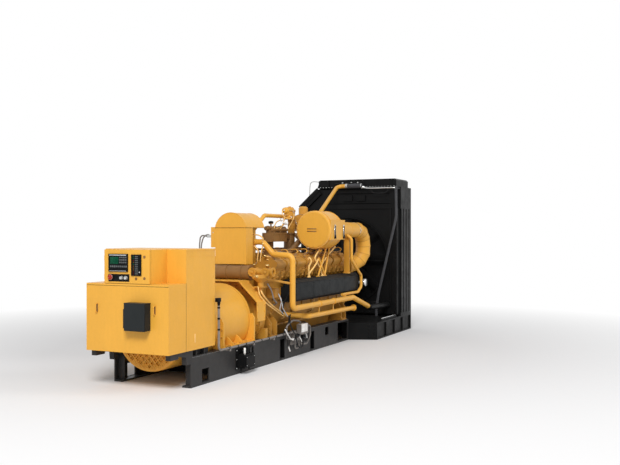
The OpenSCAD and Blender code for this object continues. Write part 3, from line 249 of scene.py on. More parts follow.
YELLOW = paint("yellow_enamel", (0.82, 0.415, 0.052), 0.4, 0.06, 0.2, 260.0, 0.06)
CAST = paint("cast_yellow", (0.7, 0.335, 0.04), 0.5, 0.3, 0.55, 120.0, 0.12, 0.3)
# engine yellow darkened by painted shade, for the block, feet, heads and their fittings
SHADED_ENGINE_YELLOW = paint("engine_yellow_shaded", (0.54, 0.255, 0.034), 0.5, 0.34, 0.55, 120.0, 0.1, 0.3)
# yellow darkened by painted shade, for parts that sit in shade
SHADE_YELLOW = paint("shaded_yellow", (0.3, 0.15, 0.045), 0.5, 0.35, 0.55, 120.0, 0.12, 0.3)
BLACK = paint("black_enamel", (0.0075, 0.0076, 0.0078), 0.42, 0.25, 0.3, 260.0, 0.012, 0.0, 0.1)
RAIL = paint("rail_enamel", (0.04, 0.0385, 0.038), 0.42, 0.22, 0.4, 200.0, 0.03, 0.35, 0.18)
COVER = paint("side_cover", (0.021, 0.0245, 0.0255), 0.4, 0.2, 0.25, 260.0, 0.02, 0.0, 0.12)
PANEL = paint("black_cover", (0.0125, 0.0145, 0.0155), 0.44, 0.2, 0.25, 260.0, 0.015, 0.0, 0.08)
RED = moulded("stop_red", (0.3, 0.026, 0.012), 0.42, 900.0, 0.12)
PALE = moulded("pale_plastic", (0.5, 0.5, 0.48), 0.36)
WHITE = moulded("white_sleeve", (0.8, 0.79, 0.76), 0.45)
SLEEVE = moulded("grey_sleeve", (0.46, 0.48, 0.5), 0.45)
CREAM = moulded("cream_tube", (0.82, 0.5, 0.16), 0.42)
GREY = moulded("conduit_grey", (0.19, 0.172, 0.158), 0.46, 400.0)
DARK = moulded("dark_plastic", (0.0055, 0.006, 0.006), 0.42, 900.0, 0.07)
RUBBER = moulded("hose_rubber", (0.01, 0.01, 0.0105), 0.62, 900.0, 0.2)
HOSE = moulded("grey_hose", (0.048, 0.048, 0.052), 0.55, 900.0, 0.25)
KEYS = moulded("key_grey", (0.22, 0.23, 0.23), 0.5)
KEYCAP = moulded("keycap_dark", (0.085, 0.09, 0.09), 0.5)
STEEL = metal("zinc_steel", (0.62, 0.62, 0.6), 0.3)
BRIGHT = metal("bright_band", (0.8, 0.8, 0.79), 0.2, (1, 8, 8))
BRASS = metal("brass_fitting", (0.72, 0.5, 0.2), 0.32)
SCREEN = glow("screen_green", (0.002, 0.072, 0.034), 0.15)
TRACE = glow("screen_trace", (0.01, 0.13, 0.06), 0.15)
LAMPS = {
    "green": glow("lamp_green", (0.01, 0.14, 0.05), 0.15),
    "amber": glow("lamp_amber", (0.24, 0.1, 0.01), 0.1),
    "red": glow("lamp_red", (0.18, 0.01, 0.008), 0.1),
}
CORE = fin_metal()

OWN_SLOT = "own"
LOOK_SLOT = {
    YELLOW: "yellow_paint", CAST: "yellow_paint", SHADED_ENGINE_YELLOW: "yellow_paint", SHADE_YELLOW: "yellow_paint",
    BLACK: "black_paint", RAIL: "black_paint", COVER: "dark_cover", PANEL: "dark_cover",
    DARK: "dark_plastic", KEYCAP: "dark_plastic", PALE: "pale_plastic", GREY: "conduit_grey",
}
SLOT_LOOK = {
    "yellow_paint": YELLOW, "black_paint": BLACK, "core_metal": CORE, "dark_cover": COVER,
    "dark_plastic": DARK, "red_plastic": RED, "pale_plastic": PALE, "conduit_grey": GREY,
}
# nodes that look different from their slot; block, feet, heads, plenum and heat exchanger take
# copies of the yellow darkened by painted shade
NODE_LOOK = {
    "engine_block": SHADED_ENGINE_YELLOW, "engine_feet": SHADED_ENGINE_YELLOW, "heads_left": SHADED_ENGINE_YELLOW, "heads_right": SHADED_ENGINE_YELLOW,
    "front_housing": CAST, "flywheel_housing": CAST, "turbocharger": CAST, "gas_regulator": CAST,
    "intake_plenum": SHADE_YELLOW, "heat_exchanger": SHADE_YELLOW, "vent_line": HOSE, "vent_cover": COVER,
    "rail_left": RAIL, "rail_right": RAIL, "cabinet_brackets": RAIL,
    "side_box_left": PANEL, "side_box_right": PANEL,
}
EDGE_WIDTH = {"fan": 0, "radiator_core": 0, "inlet_grille": 1.5, "harness": 1.5}
USUAL_EDGE = 3
ROUND_OVER, SHADE_OVER = math.radians(40), math.radians(35)


def soften(piece, width):
    """Small rounding on the sharp edges of a piece."""
    edge = piece.modifiers.new("soft_edges", "BEVEL")
    edge.width = width * MM
    edge.segments = 2
    edge.limit_method = "ANGLE"
    edge.angle_limit = ROUND_OVER
    edge.use_clamp_overlap = True


for row in frame["record"]["subparts"]:
    name = row["node"]
    node, width = NODES[name], EDGE_WIDTH.get(name, USUAL_EDGE)
    node.data.materials.clear()
    node.data.materials.append(NODE_LOOK.get(name, SLOT_LOOK[row["material_slot"]]))
    if width:
        soften(node, width)


# ---------------------------------------------------------------- mesh tools

def basis(axis):
    """Two unit vectors square to an axis and to each other."""
    axis = axis.normalized()
    helper = Z if abs(axis.z) < 0.9 else X
    side = axis.cross(helper).normalized()
    return side, axis.cross(side)


def spoke(turn):
    """Unit vector across the set's long axis, turned from +Y towards +Z."""
    return Vector((0, math.cos(turn), math.sin(turn)))


def stud(r0, h0, r1, h1, root=0):
    """Profile of a stepped stud: wide up to h0, then a short slope and narrow up to h1."""
    return [(root, r0), (h0, r0), (h0 + 4, r1), (h1, r1)]


class Shape:
    """A mesh that grows solid by solid and then becomes a piece of the part.

    A piece rides on the root unless a body is given. The slot that belongs to its
    look, or the slot given, is kept on the shape but not put on the piece.
    """

    made = []

    def __init__(self, name, look, body="root", edge=0, slot=OWN_SLOT):
        self.bm = bmesh.new()
        self.name, self.look, self.body, self.edge = name, look, body, edge
        self.slot = LOOK_SLOT.get(look) if slot == OWN_SLOT else slot
        Shape.made.append(self)

    def loft(self, rings, closed=True):
        """Skins a list of rings of points, with end caps if closed."""
        made = [[self.bm.verts.new(p) for p in ring] for ring in rings]
        count = len(made[0])
        for a, b in zip(made, made[1:]):
            for i in range(count):
                j = (i + 1) % count
                self.bm.faces.new((a[i], a[j], b[j], b[i]))
        if closed:
            self.bm.faces.new(list(reversed(made[0])))
            self.bm.faces.new(made[-1])

    def box(self, a, b):
        """Block between two opposite corners."""
        (x0, y0, z0), (x1, y1, z1) = a, b
        self.loft([[(x0, y0, z), (x1, y0, z), (x1, y1, z), (x0, y1, z)] for z in (z0, z1)])

    def lathe(self, place, axis, profile, sides=16):
        """Turned solid; profile is a list of (distance along the axis, radius)."""
        place, axis = Vector(place), Vector(axis).normalized()
        u, v = basis(axis)
        turns = [2 * math.pi * i / sides for i in range(sides)]
        self.loft([
            [place + axis * d + (u * math.cos(t) + v * math.sin(t)) * r for t in turns]
            for d, r in profile
        ])

    def rod(self, a, b, r, sides=12):
        a, b = Vector(a), Vector(b)
        self.lathe(a, b - a, [(0, r), ((b - a).length, r)], sides)

    def path(self, points, r, sides=8):
        """Straight rods from point to point."""
        for a, b in zip(points, points[1:]):
            self.rod(a, b, r, sides)

    def tube(self, points, r, sides=10, steps=7, ribs=0):
        """Round tube on a smooth curve through the points; ribs makes it corrugated."""
        path = smooth_path([Vector(p) for p in points], steps)
        u = basis(path[1] - path[0])[0]
        rings = []
        for i, p in enumerate(path):
            way = (path[min(i + 1, len(path) - 1)] - path[max(i - 1, 0)]).normalized()
            u = (u - way * u.dot(way)).normalized()
            v = way.cross(u)
            radius = r + (ribs if i % 2 else 0)
            rings.append([
                p + (u * math.cos(t) + v * math.sin(t)) * radius
                for t in (2 * math.pi * k / sides for k in range(sides))
            ])
        self.loft(rings)

    def bolt(self, place, axis, r=9):
        """Hexagon head on a washer."""
        place, axis = Vector(place), Vector(axis).normalized()
        self.lathe(place, axis, [(-0.1 * r, 1.55 * r), (0.25 * r, 1.55 * r)], 12)
        self.lathe(place, axis, [(0.25 * r, 1.12 * r), (0.85 * r, 1.12 * r), (r, 0.95 * r)], 6)

    def screw(self, place, axis, r=6):
        """Domed screw head."""
        dome = [(-0.1 * r, r), (0.25 * r, r), (0.5 * r, 0.7 * r), (0.58 * r, 0.3 * r)]
        self.lathe(place, axis, dome, 10)

    def row(self, a, b, count, axis, r, kind="bolt"):
        """Even row of bolts or screws."""
        a, b = Vector(a), Vector(b)
        for i in range(count):
            getattr(self, kind)(a.lerp(b, i / max(1, count - 1)), axis, r)

    def circle(self, centre, axis, radius, count, r, kind="bolt", start=0):
        """Pitch circle of bolts or screws."""
        u, v = basis(Vector(axis))
        for i in range(count):
            t = math.radians(start + 360 * i / count)
            place = Vector(centre) + (u * math.cos(t) + v * math.sin(t)) * radius
            getattr(self, kind)(place, axis, r)

    def ring(self, centre, axis, radius, width, thick, sides=40):
        """Flat band round an axis, for clamps and rims."""
        centre, axis = Vector(centre), Vector(axis).normalized()
        u, v = basis(axis)
        half, outer = width / 2, radius + thick
        loops = [(-half, radius), (-half, outer), (half, outer), (half, radius)]
        rings = []
        for k in range(sides + 1):
            t = 2 * math.pi * k / sides
            out = u * math.cos(t) + v * math.sin(t)
            rings.append([centre + axis * d + out * r for d, r in loops])
        self.loft(rings, closed=False)
        bmesh.ops.remove_doubles(self.bm, verts=self.bm.verts[-8 * (sides + 1):], dist=0.001)

    def clamp(self, centre, axis, radius, width=14):
        """Worm-drive clamp: a band with its screw housing."""
        self.ring(centre, axis, radius, width, 2.5)
        axis = Vector(axis).normalized()
        u, v = basis(axis)
        seat = Vector(centre) + u * (radius + 6)
        self.rod(seat - v * 18, seat + v * 18, 6, 8)
        self.lathe(seat + v * 18, v, [(0, 7.5), (7, 7.5)], 6)

    def piece(self):
        """Turns the mesh into an object that rides on its body."""
        for face in self.bm.faces:
            face.smooth = True
        for line in self.bm.edges:
            line.smooth = line.calc_face_angle(0.0) < SHADE_OVER
        bmesh.ops.recalc_face_normals(self.bm, faces=self.bm.faces)
        mesh = bpy.data.meshes.new(self.name)
        self.bm.to_mesh(mesh)
        self.bm.free()
        mesh.transform(Matrix.Scale(MM, 4))
        mesh.materials.append(self.look)
        obj = bpy.data.objects.new(self.name, mesh)
        bpy.context.scene.collection.objects.link(obj)
        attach(obj, self.body)
        if self.edge:
            soften(obj, self.edge)


def smooth_path(points, steps):
    """Catmull-Rom curve through the points."""
    ends = [2 * points[0] - points[1]] + points + [2 * points[-1] - points[-2]]
    path = []
    for p0, p1, p2, p3 in zip(ends, ends[1:], ends[2:], ends[3:]):
        for k in range(steps):
            t = k / steps
            path.append(0.5 * (
                2 * p1 + (p2 - p0) * t + (2 * p0 - 5 * p1 + 4 * p2 - p3) * t * t
                + (3 * p1 - p0 - 3 * p2 + p3) * t ** 3
            ))
    path.append(points[-1])
    return path


# ---------------------------------------------------------------- stations

X_CAB = lo("control_door").x
X_TALL, X_TALL_END = lo("tall_cabinet").x, hi("tall_cabinet").x
X_GEN_END, X_FLY = hi("generator_feet").x, hi("coupling_guard").x
X_BLOCK, X_BLOCK_END = lo("engine_block").x, hi("engine_block").x
X_RAD, X_END = lo("radiator_frame").x, hi("radiator_frame").x
SHAFT_Z, FAN_Z = mid("inlet_grille").z, mid("fan").z
RAIL_Y, RAIL_TOP = hi("rail_left").y, hi("rail_left").z
CAB_Y, CAB_Z = hi("lower_cabinet").y, lo("lower_cabinet").z
LOW_TOP, TALL_TOP = hi("lower_cabinet").z, hi("tall_cabinet").z
RAD_Y, RAD_TOP = hi("radiator_frame").y, hi("radiator_frame").z
BLOCK_TOP, SIDE_TOP = hi("engine_block").z, hi("side_box_right").z
# what the boxes of the nodes don't tell: depths, radii, centre lines and the V of the banks
X_SHROUD, BASE_H = X_RAD - 120, hi("radiator_base").z - 40
X_SHOULDER, X_BASE = 1768.5, 1968.5
GEN_R, FLANK_Y = 506, 470
CAN_X, CAN_Y, CAN_Z, CAN_R, DUCT_R = 235, -600, 1945, 300, 132
TURBO_Y, TURBO_Z = -40, 2060
PLENUM_Z0, PLENUM_Z1 = 1755, 1895
COOLANT_Y, COOLANT_Z = -820, 785
REGULATOR, INLET_Y = Vector((X_FLY - 25, -520, 1335)), -730
CONDUIT_Y = -CAB_Y - 30
BANK_TILT, DECK_R, HEAD_H, ROCKER_H = math.radians(30), 680, 165, 130
CYLINDERS, PITCH = 8, 350
FIRST_CYLINDER = (X_BLOCK + X_BLOCK_END - CYLINDERS * PITCH + PITCH) / 2


def bank_point(side, x, across, up):
    """Place on a bank: across grows towards the valley, up from the deck."""
    d = DECK_R + up
    y = d * math.sin(BANK_TILT) - across * math.cos(BANK_TILT)
    return Vector((x, side * y, SHAFT_Z + d * math.cos(BANK_TILT) + across * math.sin(BANK_TILT)))


def bank_axis(side):
    """Way up from the deck of a bank."""
    return Vector((0, side * math.sin(BANK_TILT), math.cos(BANK_TILT)))


def cylinder_places():
    return [FIRST_CYLINDER + i * PITCH for i in range(CYLINDERS)]


# ---------------------------------------------------------------- control panel

DOOR_LO, DOOR_HI = lo("control_door"), hi("control_door")
PANEL_Y = -DOOR_LO.y
DOOR_H = DOOR_HI.z - DOOR_LO.z
SEAL_X0, SEAL_X1 = -3741.2, -3735.2


def door_at(across, down, out=0):
    """Place on the door's face, as shares of its width and height from the upper left."""
    return Vector((X_CAB - out, PANEL_Y - across * 2 * PANEL_Y, DOOR_HI.z - down * DOOR_H))


def door_screws():
    """Screws at the corners of the display, the panel under it and the alarm strip."""
    screws = Shape("panel_screws", DARK, "panel_door")
    for columns, rows, out, r in (((0.117, 0.529), (0.139, 0.645), 20, 3.6),
                                  ((0.104, 0.554), (0.737, 0.936), 4, 3.6),
                                  ((0.622, 0.821), (0.152, 0.755), 12, 3.2)):
        for down in rows:
            for across in columns:
                screws.screw(door_at(across, down, out), -X, r)


def control_face():
    """Screen, keys and bands of the display module."""
    front = lo("display_module").x
    glass = Shape("screen", SCREEN, "panel_door", edge=0.6, slot="dark_plastic")
    glass.box((front + 4.5, door_at(0.335, 0).y, door_at(0, 0.43).z),
              (front + 6.6, door_at(0.145, 0).y, door_at(0, 0.215).z))
    # bars of a running readout, with no words
    trace = Shape("screen_trace", TRACE, "panel_door")
    for i, share in enumerate((0.8, 0.45, 0.65, 0.3, 0.55)):
        p = door_at(0.158, 0.245 + 0.034 * i)
        trace.box((front + 3.8, p.y - share * 105, p.z - 2.2), (front + 4.6, p.y, p.z + 2.2))
    keys = Shape("display_keys", KEYCAP, "panel_door", edge=1.2)
    for i in range(4):
        for j in range(3):
            p = door_at(0.375 + 0.042 * i, 0.23 + 0.075 * j)
            keys.box((front + 0.5, p.y - 10, p.z - 9), (front + 6, p.y + 10, p.z + 9))
    for i in range(9):
        p = door_at(0.165 + 0.043 * i, 0.5)
        keys.box((front + 1, p.y - 10, p.z - 11), (front + 6.5, p.y + 10, p.z + 11))
    bands = Shape("display_bands", SLEEVE, "panel_door", edge=0.5)
    for down, half in ((0.163, 5), (0.632, 2.4)):
        left, right = door_at(0.135, down), door_at(0.51, down)
        bands.box((front - 1.2, right.y, left.z - half), (front + 1, left.y, left.z + half))


def alarm_lamps():
    """Column of lamps with their label strips, and the key that tests them."""
    low, high = lo("alarm_strip"), hi("alarm_strip")
    colours = ("red", "red", "amber", "amber", "amber", "green", "amber", "red", "green", "green")
    pitch = (high.z - low.z - 48) / (len(colours) - 1)
    lenses = {c: Shape("alarm_lamps_" + c, LAMPS[c], "panel_door") for c in LAMPS}
    strips = Shape("alarm_label_strips", KEYCAP, "panel_door", edge=0.6)
    for i, colour in enumerate(colours):
        z = low.z + 24 + i * pitch
        lenses[colour].lathe((low.x + 0.5, high.y - 36, z), -X,
                             [(-2, 6.2), (1, 6), (2.8, 4), (3.4, 1)], 14)
        strips.box((low.x + 2.2, low.y + 44, z - 5), (low.x + 4.2, high.y - 56, z + 5))
    test = Shape("lamp_test_key", PALE, "panel_door")
    test.lathe((low.x + 2.2, low.y + 20, low.z + 44), -X, [(0, 8.5), (4, 8.5), (5, 7)], 18)


def door_fittings():
    """Stop button, knobs and latches."""
    stop, face, plate_x = mid("stop_button"), lo("stop_button").x, X_CAB - 4
    ring = Shape("stop_ring", DARK, "panel_door")
    ring.lathe((plate_x, stop.y, stop.z), -X, [(0, 38), (3, 38), (4.5, 36), (4.5, 12)], 40)
    cap = Shape("stop_button_marks", PALE, "stop_button")
    cap.ring((face + 11.5, stop.y, stop.z), X, 32.5, 5, 1.6)
    for turn in (90, 210, 330):
        cap.lathe(Vector((face - 0.2, stop.y, stop.z)) + spoke(math.radians(turn)) * 14, X,
                  [(-0.4, 3.5), (2, 3.5)], 3)
    ticks = Shape("knob_scale_ticks", PALE, "panel_door")
    for knob in ("volt_knob", "speed_knob"):
        low, centre = lo(knob), mid(knob)
        for i in range(11):
            out = spoke(math.radians(27 * i - 45))
            p = Vector((plate_x - 0.3, centre.y, centre.z)) + out * 26.2
            ticks.rod(p - out * 1.6, p + out * 2, 0.6, 6)
        grip = Shape(knob + "_grip", DARK, knob)
        for i in range(18):
            p = Vector((X_CAB - 24, centre.y, centre.z)) + spoke(2 * math.pi * i / 18) * 18.2
            grip.rod(p, p + X * 8, 1.3, 6)
        grip.box((low.x + 1.5, centre.y - 1.2, centre.z + 3),
                 (low.x + 2.6, centre.y + 1.2, centre.z + 17))
    # latches in the yellow darkened by painted shade
    latches = Shape("door_latches", SHADE_YELLOW, "panel_door")
    tongues = Shape("latch_nuts", STEEL, "panel_door")
    for across, down in ((0.896, 0.21), (0.896, 0.84), (0.713, 0.853)):
        p = door_at(across, down)
        latches.lathe(p, -X, [(-1, 17), (4, 17), (6, 15), (6, 9), (3, 8)], 28)
        latches.box((p.x - 6.2, p.y - 1.8, p.z - 8.5), (p.x - 3, p.y + 1.8, p.z + 8.5))
        if across > 0.8:
            tongues.rod((DOOR_HI.x - 12, p.y, p.z), (DOOR_HI.x - 4, p.y, p.z), 9, 12)


def behind_the_door():
    """Seal round the housing's front edge, and the plate with its relays and terminals."""
    seal = Shape("door_seal", RUBBER)
    y, z0, z1, band = PANEL_Y - 1.5, LOW_TOP + 7.5, TALL_TOP - 3.5, 10
    for y0, y1, low, high in ((-y, y, z0, z0 + band), (-y, y, z1 - band, z1),
                              (-y, band - y, z0 + band, z1 - band),
                              (y - band, y, z0 + band, z1 - band)):
        seal.box((SEAL_X0, y0, low), (SEAL_X1, y1, high))
    x1 = hi("control_housing").x - 8
    y0, y1 = -PANEL_Y + 30, PANEL_Y - 30
    z0, z1 = LOW_TOP + 35, TALL_TOP - 35
    plate = Shape("mounting_plate", STEEL, edge=1)
    plate.box((x1 - 3, y0, z0), (x1, y1, z1))
    for z in (z0 + 100, z0 + 240):
        plate.box((x1 - 12, y0 + 20, z), (x1 - 3, y1 - 20, z + 35))
    trunk = Shape("wire_trunking", KEYS)
    for z in (z0 + 35, z0 + 165, z1 - 45):
        trunk.box((x1 - 45, y0 + 10, z), (x1 - 3, y1 - 10, z + 35))
        for i in range(28):
            y = y0 + 25 + i * 20.5
            trunk.box((x1 - 46.2, y, z + 4), (x1 - 44.5, y + 10, z + 31))
    relays = Shape("relays", DARK, edge=2)
    for i in range(9):
        y = y0 + 50 + i * 34
        relays.box((x1 - 75, y, z0 + 85), (x1 - 12, y + 28, z0 + 150))
    blocks = Shape("terminal_blocks", PALE)
    for i in range(34):
        y = y0 + 35 + i * 15.5
        blocks.box((x1 - 55, y, z0 + 225), (x1 - 12, y + 13.5, z0 + 290))
        blocks.screw((x1 - 55, y + 6.8, z0 + 277), -X, 3)


# ---------------------------------------------------------------- cabinets

def cabinet_fittings():
    """Screws, shadow joints, edging of the cut-out and the earth strap's plate."""
    screws = Shape("cabinet_screws", YELLOW)
    edge = 22
    for z in (CAB_Z + edge, LOW_TOP - 45):
        screws.row((X_CAB, -CAB_Y + edge, z), (X_CAB, CAB_Y - edge, z), 7, -X, 6, "screw")
    for y in (-CAB_Y + edge, CAB_Y - edge):
        screws.row((X_CAB, y, CAB_Z + 200), (X_CAB, y, LOW_TOP - 200), 4, -X, 6, "screw")
    seams = Shape("cabinet_joints", DARK, slot=None)
    rubber = Shape("cutout_edging", RUBBER)
    joints = Shape("side_panel_joints", YELLOW)
    cut_x, cut_r = X_TALL_END + 2, GEN_R + 6
    for side in (-1, 1):
        y = side * CAB_Y
        for x0, x1, top in ((X_CAB, X_TALL, LOW_TOP), (X_TALL, X_TALL_END, TALL_TOP)):
            for z in (CAB_Z + edge, top - 45):
                screws.row((x0 + 30, y, z), (x1 - 30, y, z), 4, side * Y, 6, "screw")
        x = X_TALL_END - 30
        screws.row((x, y, CAB_Z + 200), (x, y, TALL_TOP - 250), 5, side * Y, 6, "screw")
        # between the two cabinets
        out, deep = side * (CAB_Y + 0.2), side * (CAB_Y - 2.8)
        seams.box((X_TALL - 1.5, min(out, deep), CAB_Z), (X_TALL + 3.5, max(out, deep), LOW_TOP))
        rubber.tube([(cut_x, side * cut_r, CAB_Z + 10), (cut_x, side * cut_r, SHAFT_Z - 60)], 6, 8)
        # round the removable panel of the side wall
        x0, x1, z0, z1 = X_TALL + 60, X_TALL_END - 50, CAB_Z + 50, TALL_TOP - 90
        joints.path([(x0, y, z0), (x1, y, z0), (x1, y, z1), (x0, y, z1), (x0, y, z0)], 1.2, 6)
    seams.box((X_CAB - 0.4, -CAB_Y, LOW_TOP - 26.2), (X_CAB + 2.5, CAB_Y, LOW_TOP - 21.8))
    arch = [Vector((cut_x, 0, SHAFT_Z)) + spoke(math.pi * i / 24) * cut_r for i in range(25)]
    rubber.tube(arch, 6, 8, 3)
    strap = Shape("earth_strap_plate", CREAM, edge=1)
    strap.box((X_TALL + 180, -CAB_Y - 4, 553), (X_TALL + 206, -CAB_Y + 1, 660))
    strap.row((X_TALL + 193, -CAB_Y - 4, 568), (X_TALL + 193, -CAB_Y - 4, 645), 2, -Y, 4, "screw")


def handle_plates():
    """Backing plates behind the two bar handles of the front, in yellow darkened by painted shade.
    """
    plates = Shape("handle_brackets", SHADE_YELLOW, edge=1)
    x, z = X_CAB - 4, LOW_TOP - 350
    for y in (-410, 438):
        plates.box((x, y - 10, z - 4), (X_CAB, y + 10, z + 104))
        for dz in (4, 96):
            plates.screw((x, y, z + dz), -X, 4)


def cover_fittings():
    """Screws, folded edges and the insect screen of the cover on the front."""
    low, high = lo("vent_cover"), hi("vent_cover")
    y0, y1 = low.y + 6, high.y - 32
    fixings = Shape("cover_screws", COVER)
    x, y = X_CAB - 20, high.y
    fixings.row((x, y, low.z + 60), (x, y, high.z - 100), 4, Y, 5, "screw")
    fold = Shape("cover_folds", BLACK)
    x = low.x + 3.6
    for y in (y0 - 1, y1 + 1):
        fold.rod((x, y, low.z), (x, y, high.z - 6), 3.5, 8)
    fold.rod((x, y0, low.z), (x, y1, low.z), 3.5, 8)
    for i in range(13):
        y = y0 + 20 + i * (y1 - y0 - 40) / 12
        fold.rod((low.x + 6, y, low.z + 100), (X_CAB - 4, y, low.z + 100), 1.6, 6)
    for i in range(5):
        x = low.x + 15 + i * 22
        fold.rod((x, y0 + 6, low.z + 102.5), (x, y1 - 6, low.z + 102.5), 1.6, 6)


# ---------------------------------------------------------------- generator

def generator_fittings():
    """Bolts, outlet slots, lifting eyes and a blank rating plate on the far side."""
    bolts = Shape("generator_bolts", CAST)
    slots = Shape("outlet_slots", DARK, slot=None)
    bolts.circle((X_GEN_END, 0, SHAFT_Z), X, GEN_R - 45, 24, 11)
    bolts.circle((hi("generator_frame").x - 1, 0, SHAFT_Z), X, 300, 16, 11)
    for side in (-1, 1):
        y, z = side * 545, RAIL_TOP + 30
        bolts.row((X_TALL_END + 300, y, z), (X_GEN_END - 60, y, z), 6, Z, 13)
        for x, axis in ((X_TALL_END + 252, -X), (X_GEN_END, X)):
            for across, z in ((545, 520), (545, 620), (515, 700)):
                bolts.bolt((x, side * across, z), axis, 9)
    for i in range(4):
        x = X_GEN_END - 800 + 36 * i
        for y in (-570, 570):
            slots.box((x, y - 11.5, RAIL_TOP + 4), (x + 14, y + 11.5, RAIL_TOP + 31.2))
    eyes = Shape("lifting_eyes", STEEL)
    for x in (X_TALL_END + 145, X_GEN_END - 185):
        eyes.ring((x, 0, SHAFT_Z + GEN_R + 30), Y, 17, 16, 11, 24)
        eyes.lathe((x, 0, SHAFT_Z + GEN_R + 6), Z, [(0, 20), (6, 20), (10, 13)], 16)
    plate = Shape("blank_plates", STEEL, edge=0.8)
    out, along = spoke(math.radians(38)), spoke(math.radians(128))
    centre = Vector((X_TALL_END + 620, 0, SHAFT_Z)) + out * (GEN_R + 1)
    corners = ((-60, -35), (60, -35), (60, 35), (-60, 35))
    plate.loft([[centre + X * a + along * b + out * d for a, b in corners] for d in (-4, 2.2)])


def grille_screen():
    """Fine woven mesh over the diamond bars below the cabinet, with its rim."""
    radius, pitch, top = 468, 30, CAB_Z + 40
    middle = Vector((lo("inlet_grille").x - 3, 0, SHAFT_Z))
    screen = Shape("grille_mesh", YELLOW)
    for turn in (math.radians(50), math.radians(-50)):
        along, across = spoke(turn), spoke(turn + math.pi / 2)
        for i in range(-15, 16):
            half = math.sqrt(max(0, radius ** 2 - (i * pitch) ** 2))
            centre = middle + across * (i * pitch)
            low, high = sorted((centre - along * half, centre + along * half), key=lambda p: p.z)
            if low.z > top - 20:
                continue
            if high.z > top:
                high = low.lerp(high, (top - low.z) / (high.z - low.z))
            screen.rod(low, high, 3, 6)
    rim = Shape("grille_rim", YELLOW)
    rim.ring((hi("inlet_grille").x - 24.5, 0, SHAFT_Z), X, 478, 6, 20, 64)


def guard_fittings():
    """Bolts and rolled lips of the folded guard over the coupling."""
    low, high = lo("coupling_guard"), hi("coupling_guard")
    slope = SHAFT_Z + 245
    bolts = Shape("guard_bolts", YELLOW)
    for x in (low.x + 25, high.x - 25):
        bolts.row((x, -240, high.z), (x, 240, high.z), 5, Z, 8)
        for side in (-1, 1):
            y = side * high.y
            bolts.row((x, y, low.z + 40), (x, y, SHAFT_Z + 200), 3, side * Y, 8)
            bolts.row((x, side * 532.8, SHAFT_Z + 290.5), (x, side * 318.8, SHAFT_Z + 497.5), 4,
                      Vector((0, side * 0.965, 1)), 8)
    lips = Shape("guard_lips", YELLOW)
    for x in (low.x + 2, high.x - 2):
        lips.path([(x, y, z) for y, z in (
            (-high.y, low.z), (-high.y, slope), (-280, high.z),
            (280, high.z), (high.y, slope), (high.y, low.z))], 5.5)


# ---------------------------------------------------------------- engine

def engine_fittings():
    """Bolts of the block, feet and housings, oil gallery pipes and the dipstick."""
    # bolts and gallery pipes in the engine yellow darkened by painted shade
    bolts = Shape("engine_bolts", SHADED_ENGINE_YELLOW)
    gallery_shape = Shape("gallery_pipes", SHADED_ENGINE_YELLOW)
    for side in (-1, 1):
        y = side * (FLANK_Y + 14.5)
        for x in cylinder_places():
            for dx, z in ((-112, 752), (112, 752), (-85, 830), (85, 830), (0, 746), (0, 836)):
                bolts.bolt((x + dx, y, z), side * Y, 8.5)
        y, z = side * 400, RAIL_TOP + 133
        bolts.row((X_BLOCK + 80, y, z), (X_BLOCK_END - 80, y, z), 22, side * Y, 8)
        for x in (X_BLOCK + 60, X_BLOCK_END - 460):
            for dx in (50, 150):
                for y in (500, 545):
                    bolts.bolt((x + dx, side * y, RAIL_TOP + 24), Z, 14)
            y = side * 535
            bolts.row((x - 1, y, RAIL_TOP + 60), (x - 1, y, RAIL_TOP + 180), 3, -X, 9)
        y, low_y = side * (FLANK_Y + 16), side * (FLANK_Y - 4)
        gallery_shape.rod((X_BLOCK + 260, y, 905), (X_BLOCK_END - 100, y, 905), 13, 12)
        for x in cylinder_places():
            gallery_shape.lathe((x + 120, y, 905), side * Y, [(-20, 22), (10, 22), (16, 16)], 12)
            gallery_shape.rod((x - 120, low_y, 660), (x - 120, low_y, 735), 16, 10)
    bolts.circle((X_BLOCK_END + 90, 0, SHAFT_Z + 60), X, 365, 20, 11)
    bolts.circle((X_BLOCK_END + 200, 0, SHAFT_Z), X, 150, 8, 11)
    bolts.circle((X_FLY, 0, SHAFT_Z), -X, 465, 28, 11)
    top = hi("flywheel_housing").z
    bolts.row((X_FLY + 60, -280, top), (X_FLY + 60, 280, top), 2, Z, 12)
    dip = Shape("dipstick_tube", BRASS)
    x = X_BLOCK + 1630
    dip.tube([(x - 10, -400, 595), (x - 10, -505, 660), (x, -525, 800), (x, -525.5, 845)], 9)
    dip.lathe((x, -525.5, 835), Z, [(0, 14), (12, 14), (18, 6)], 12)


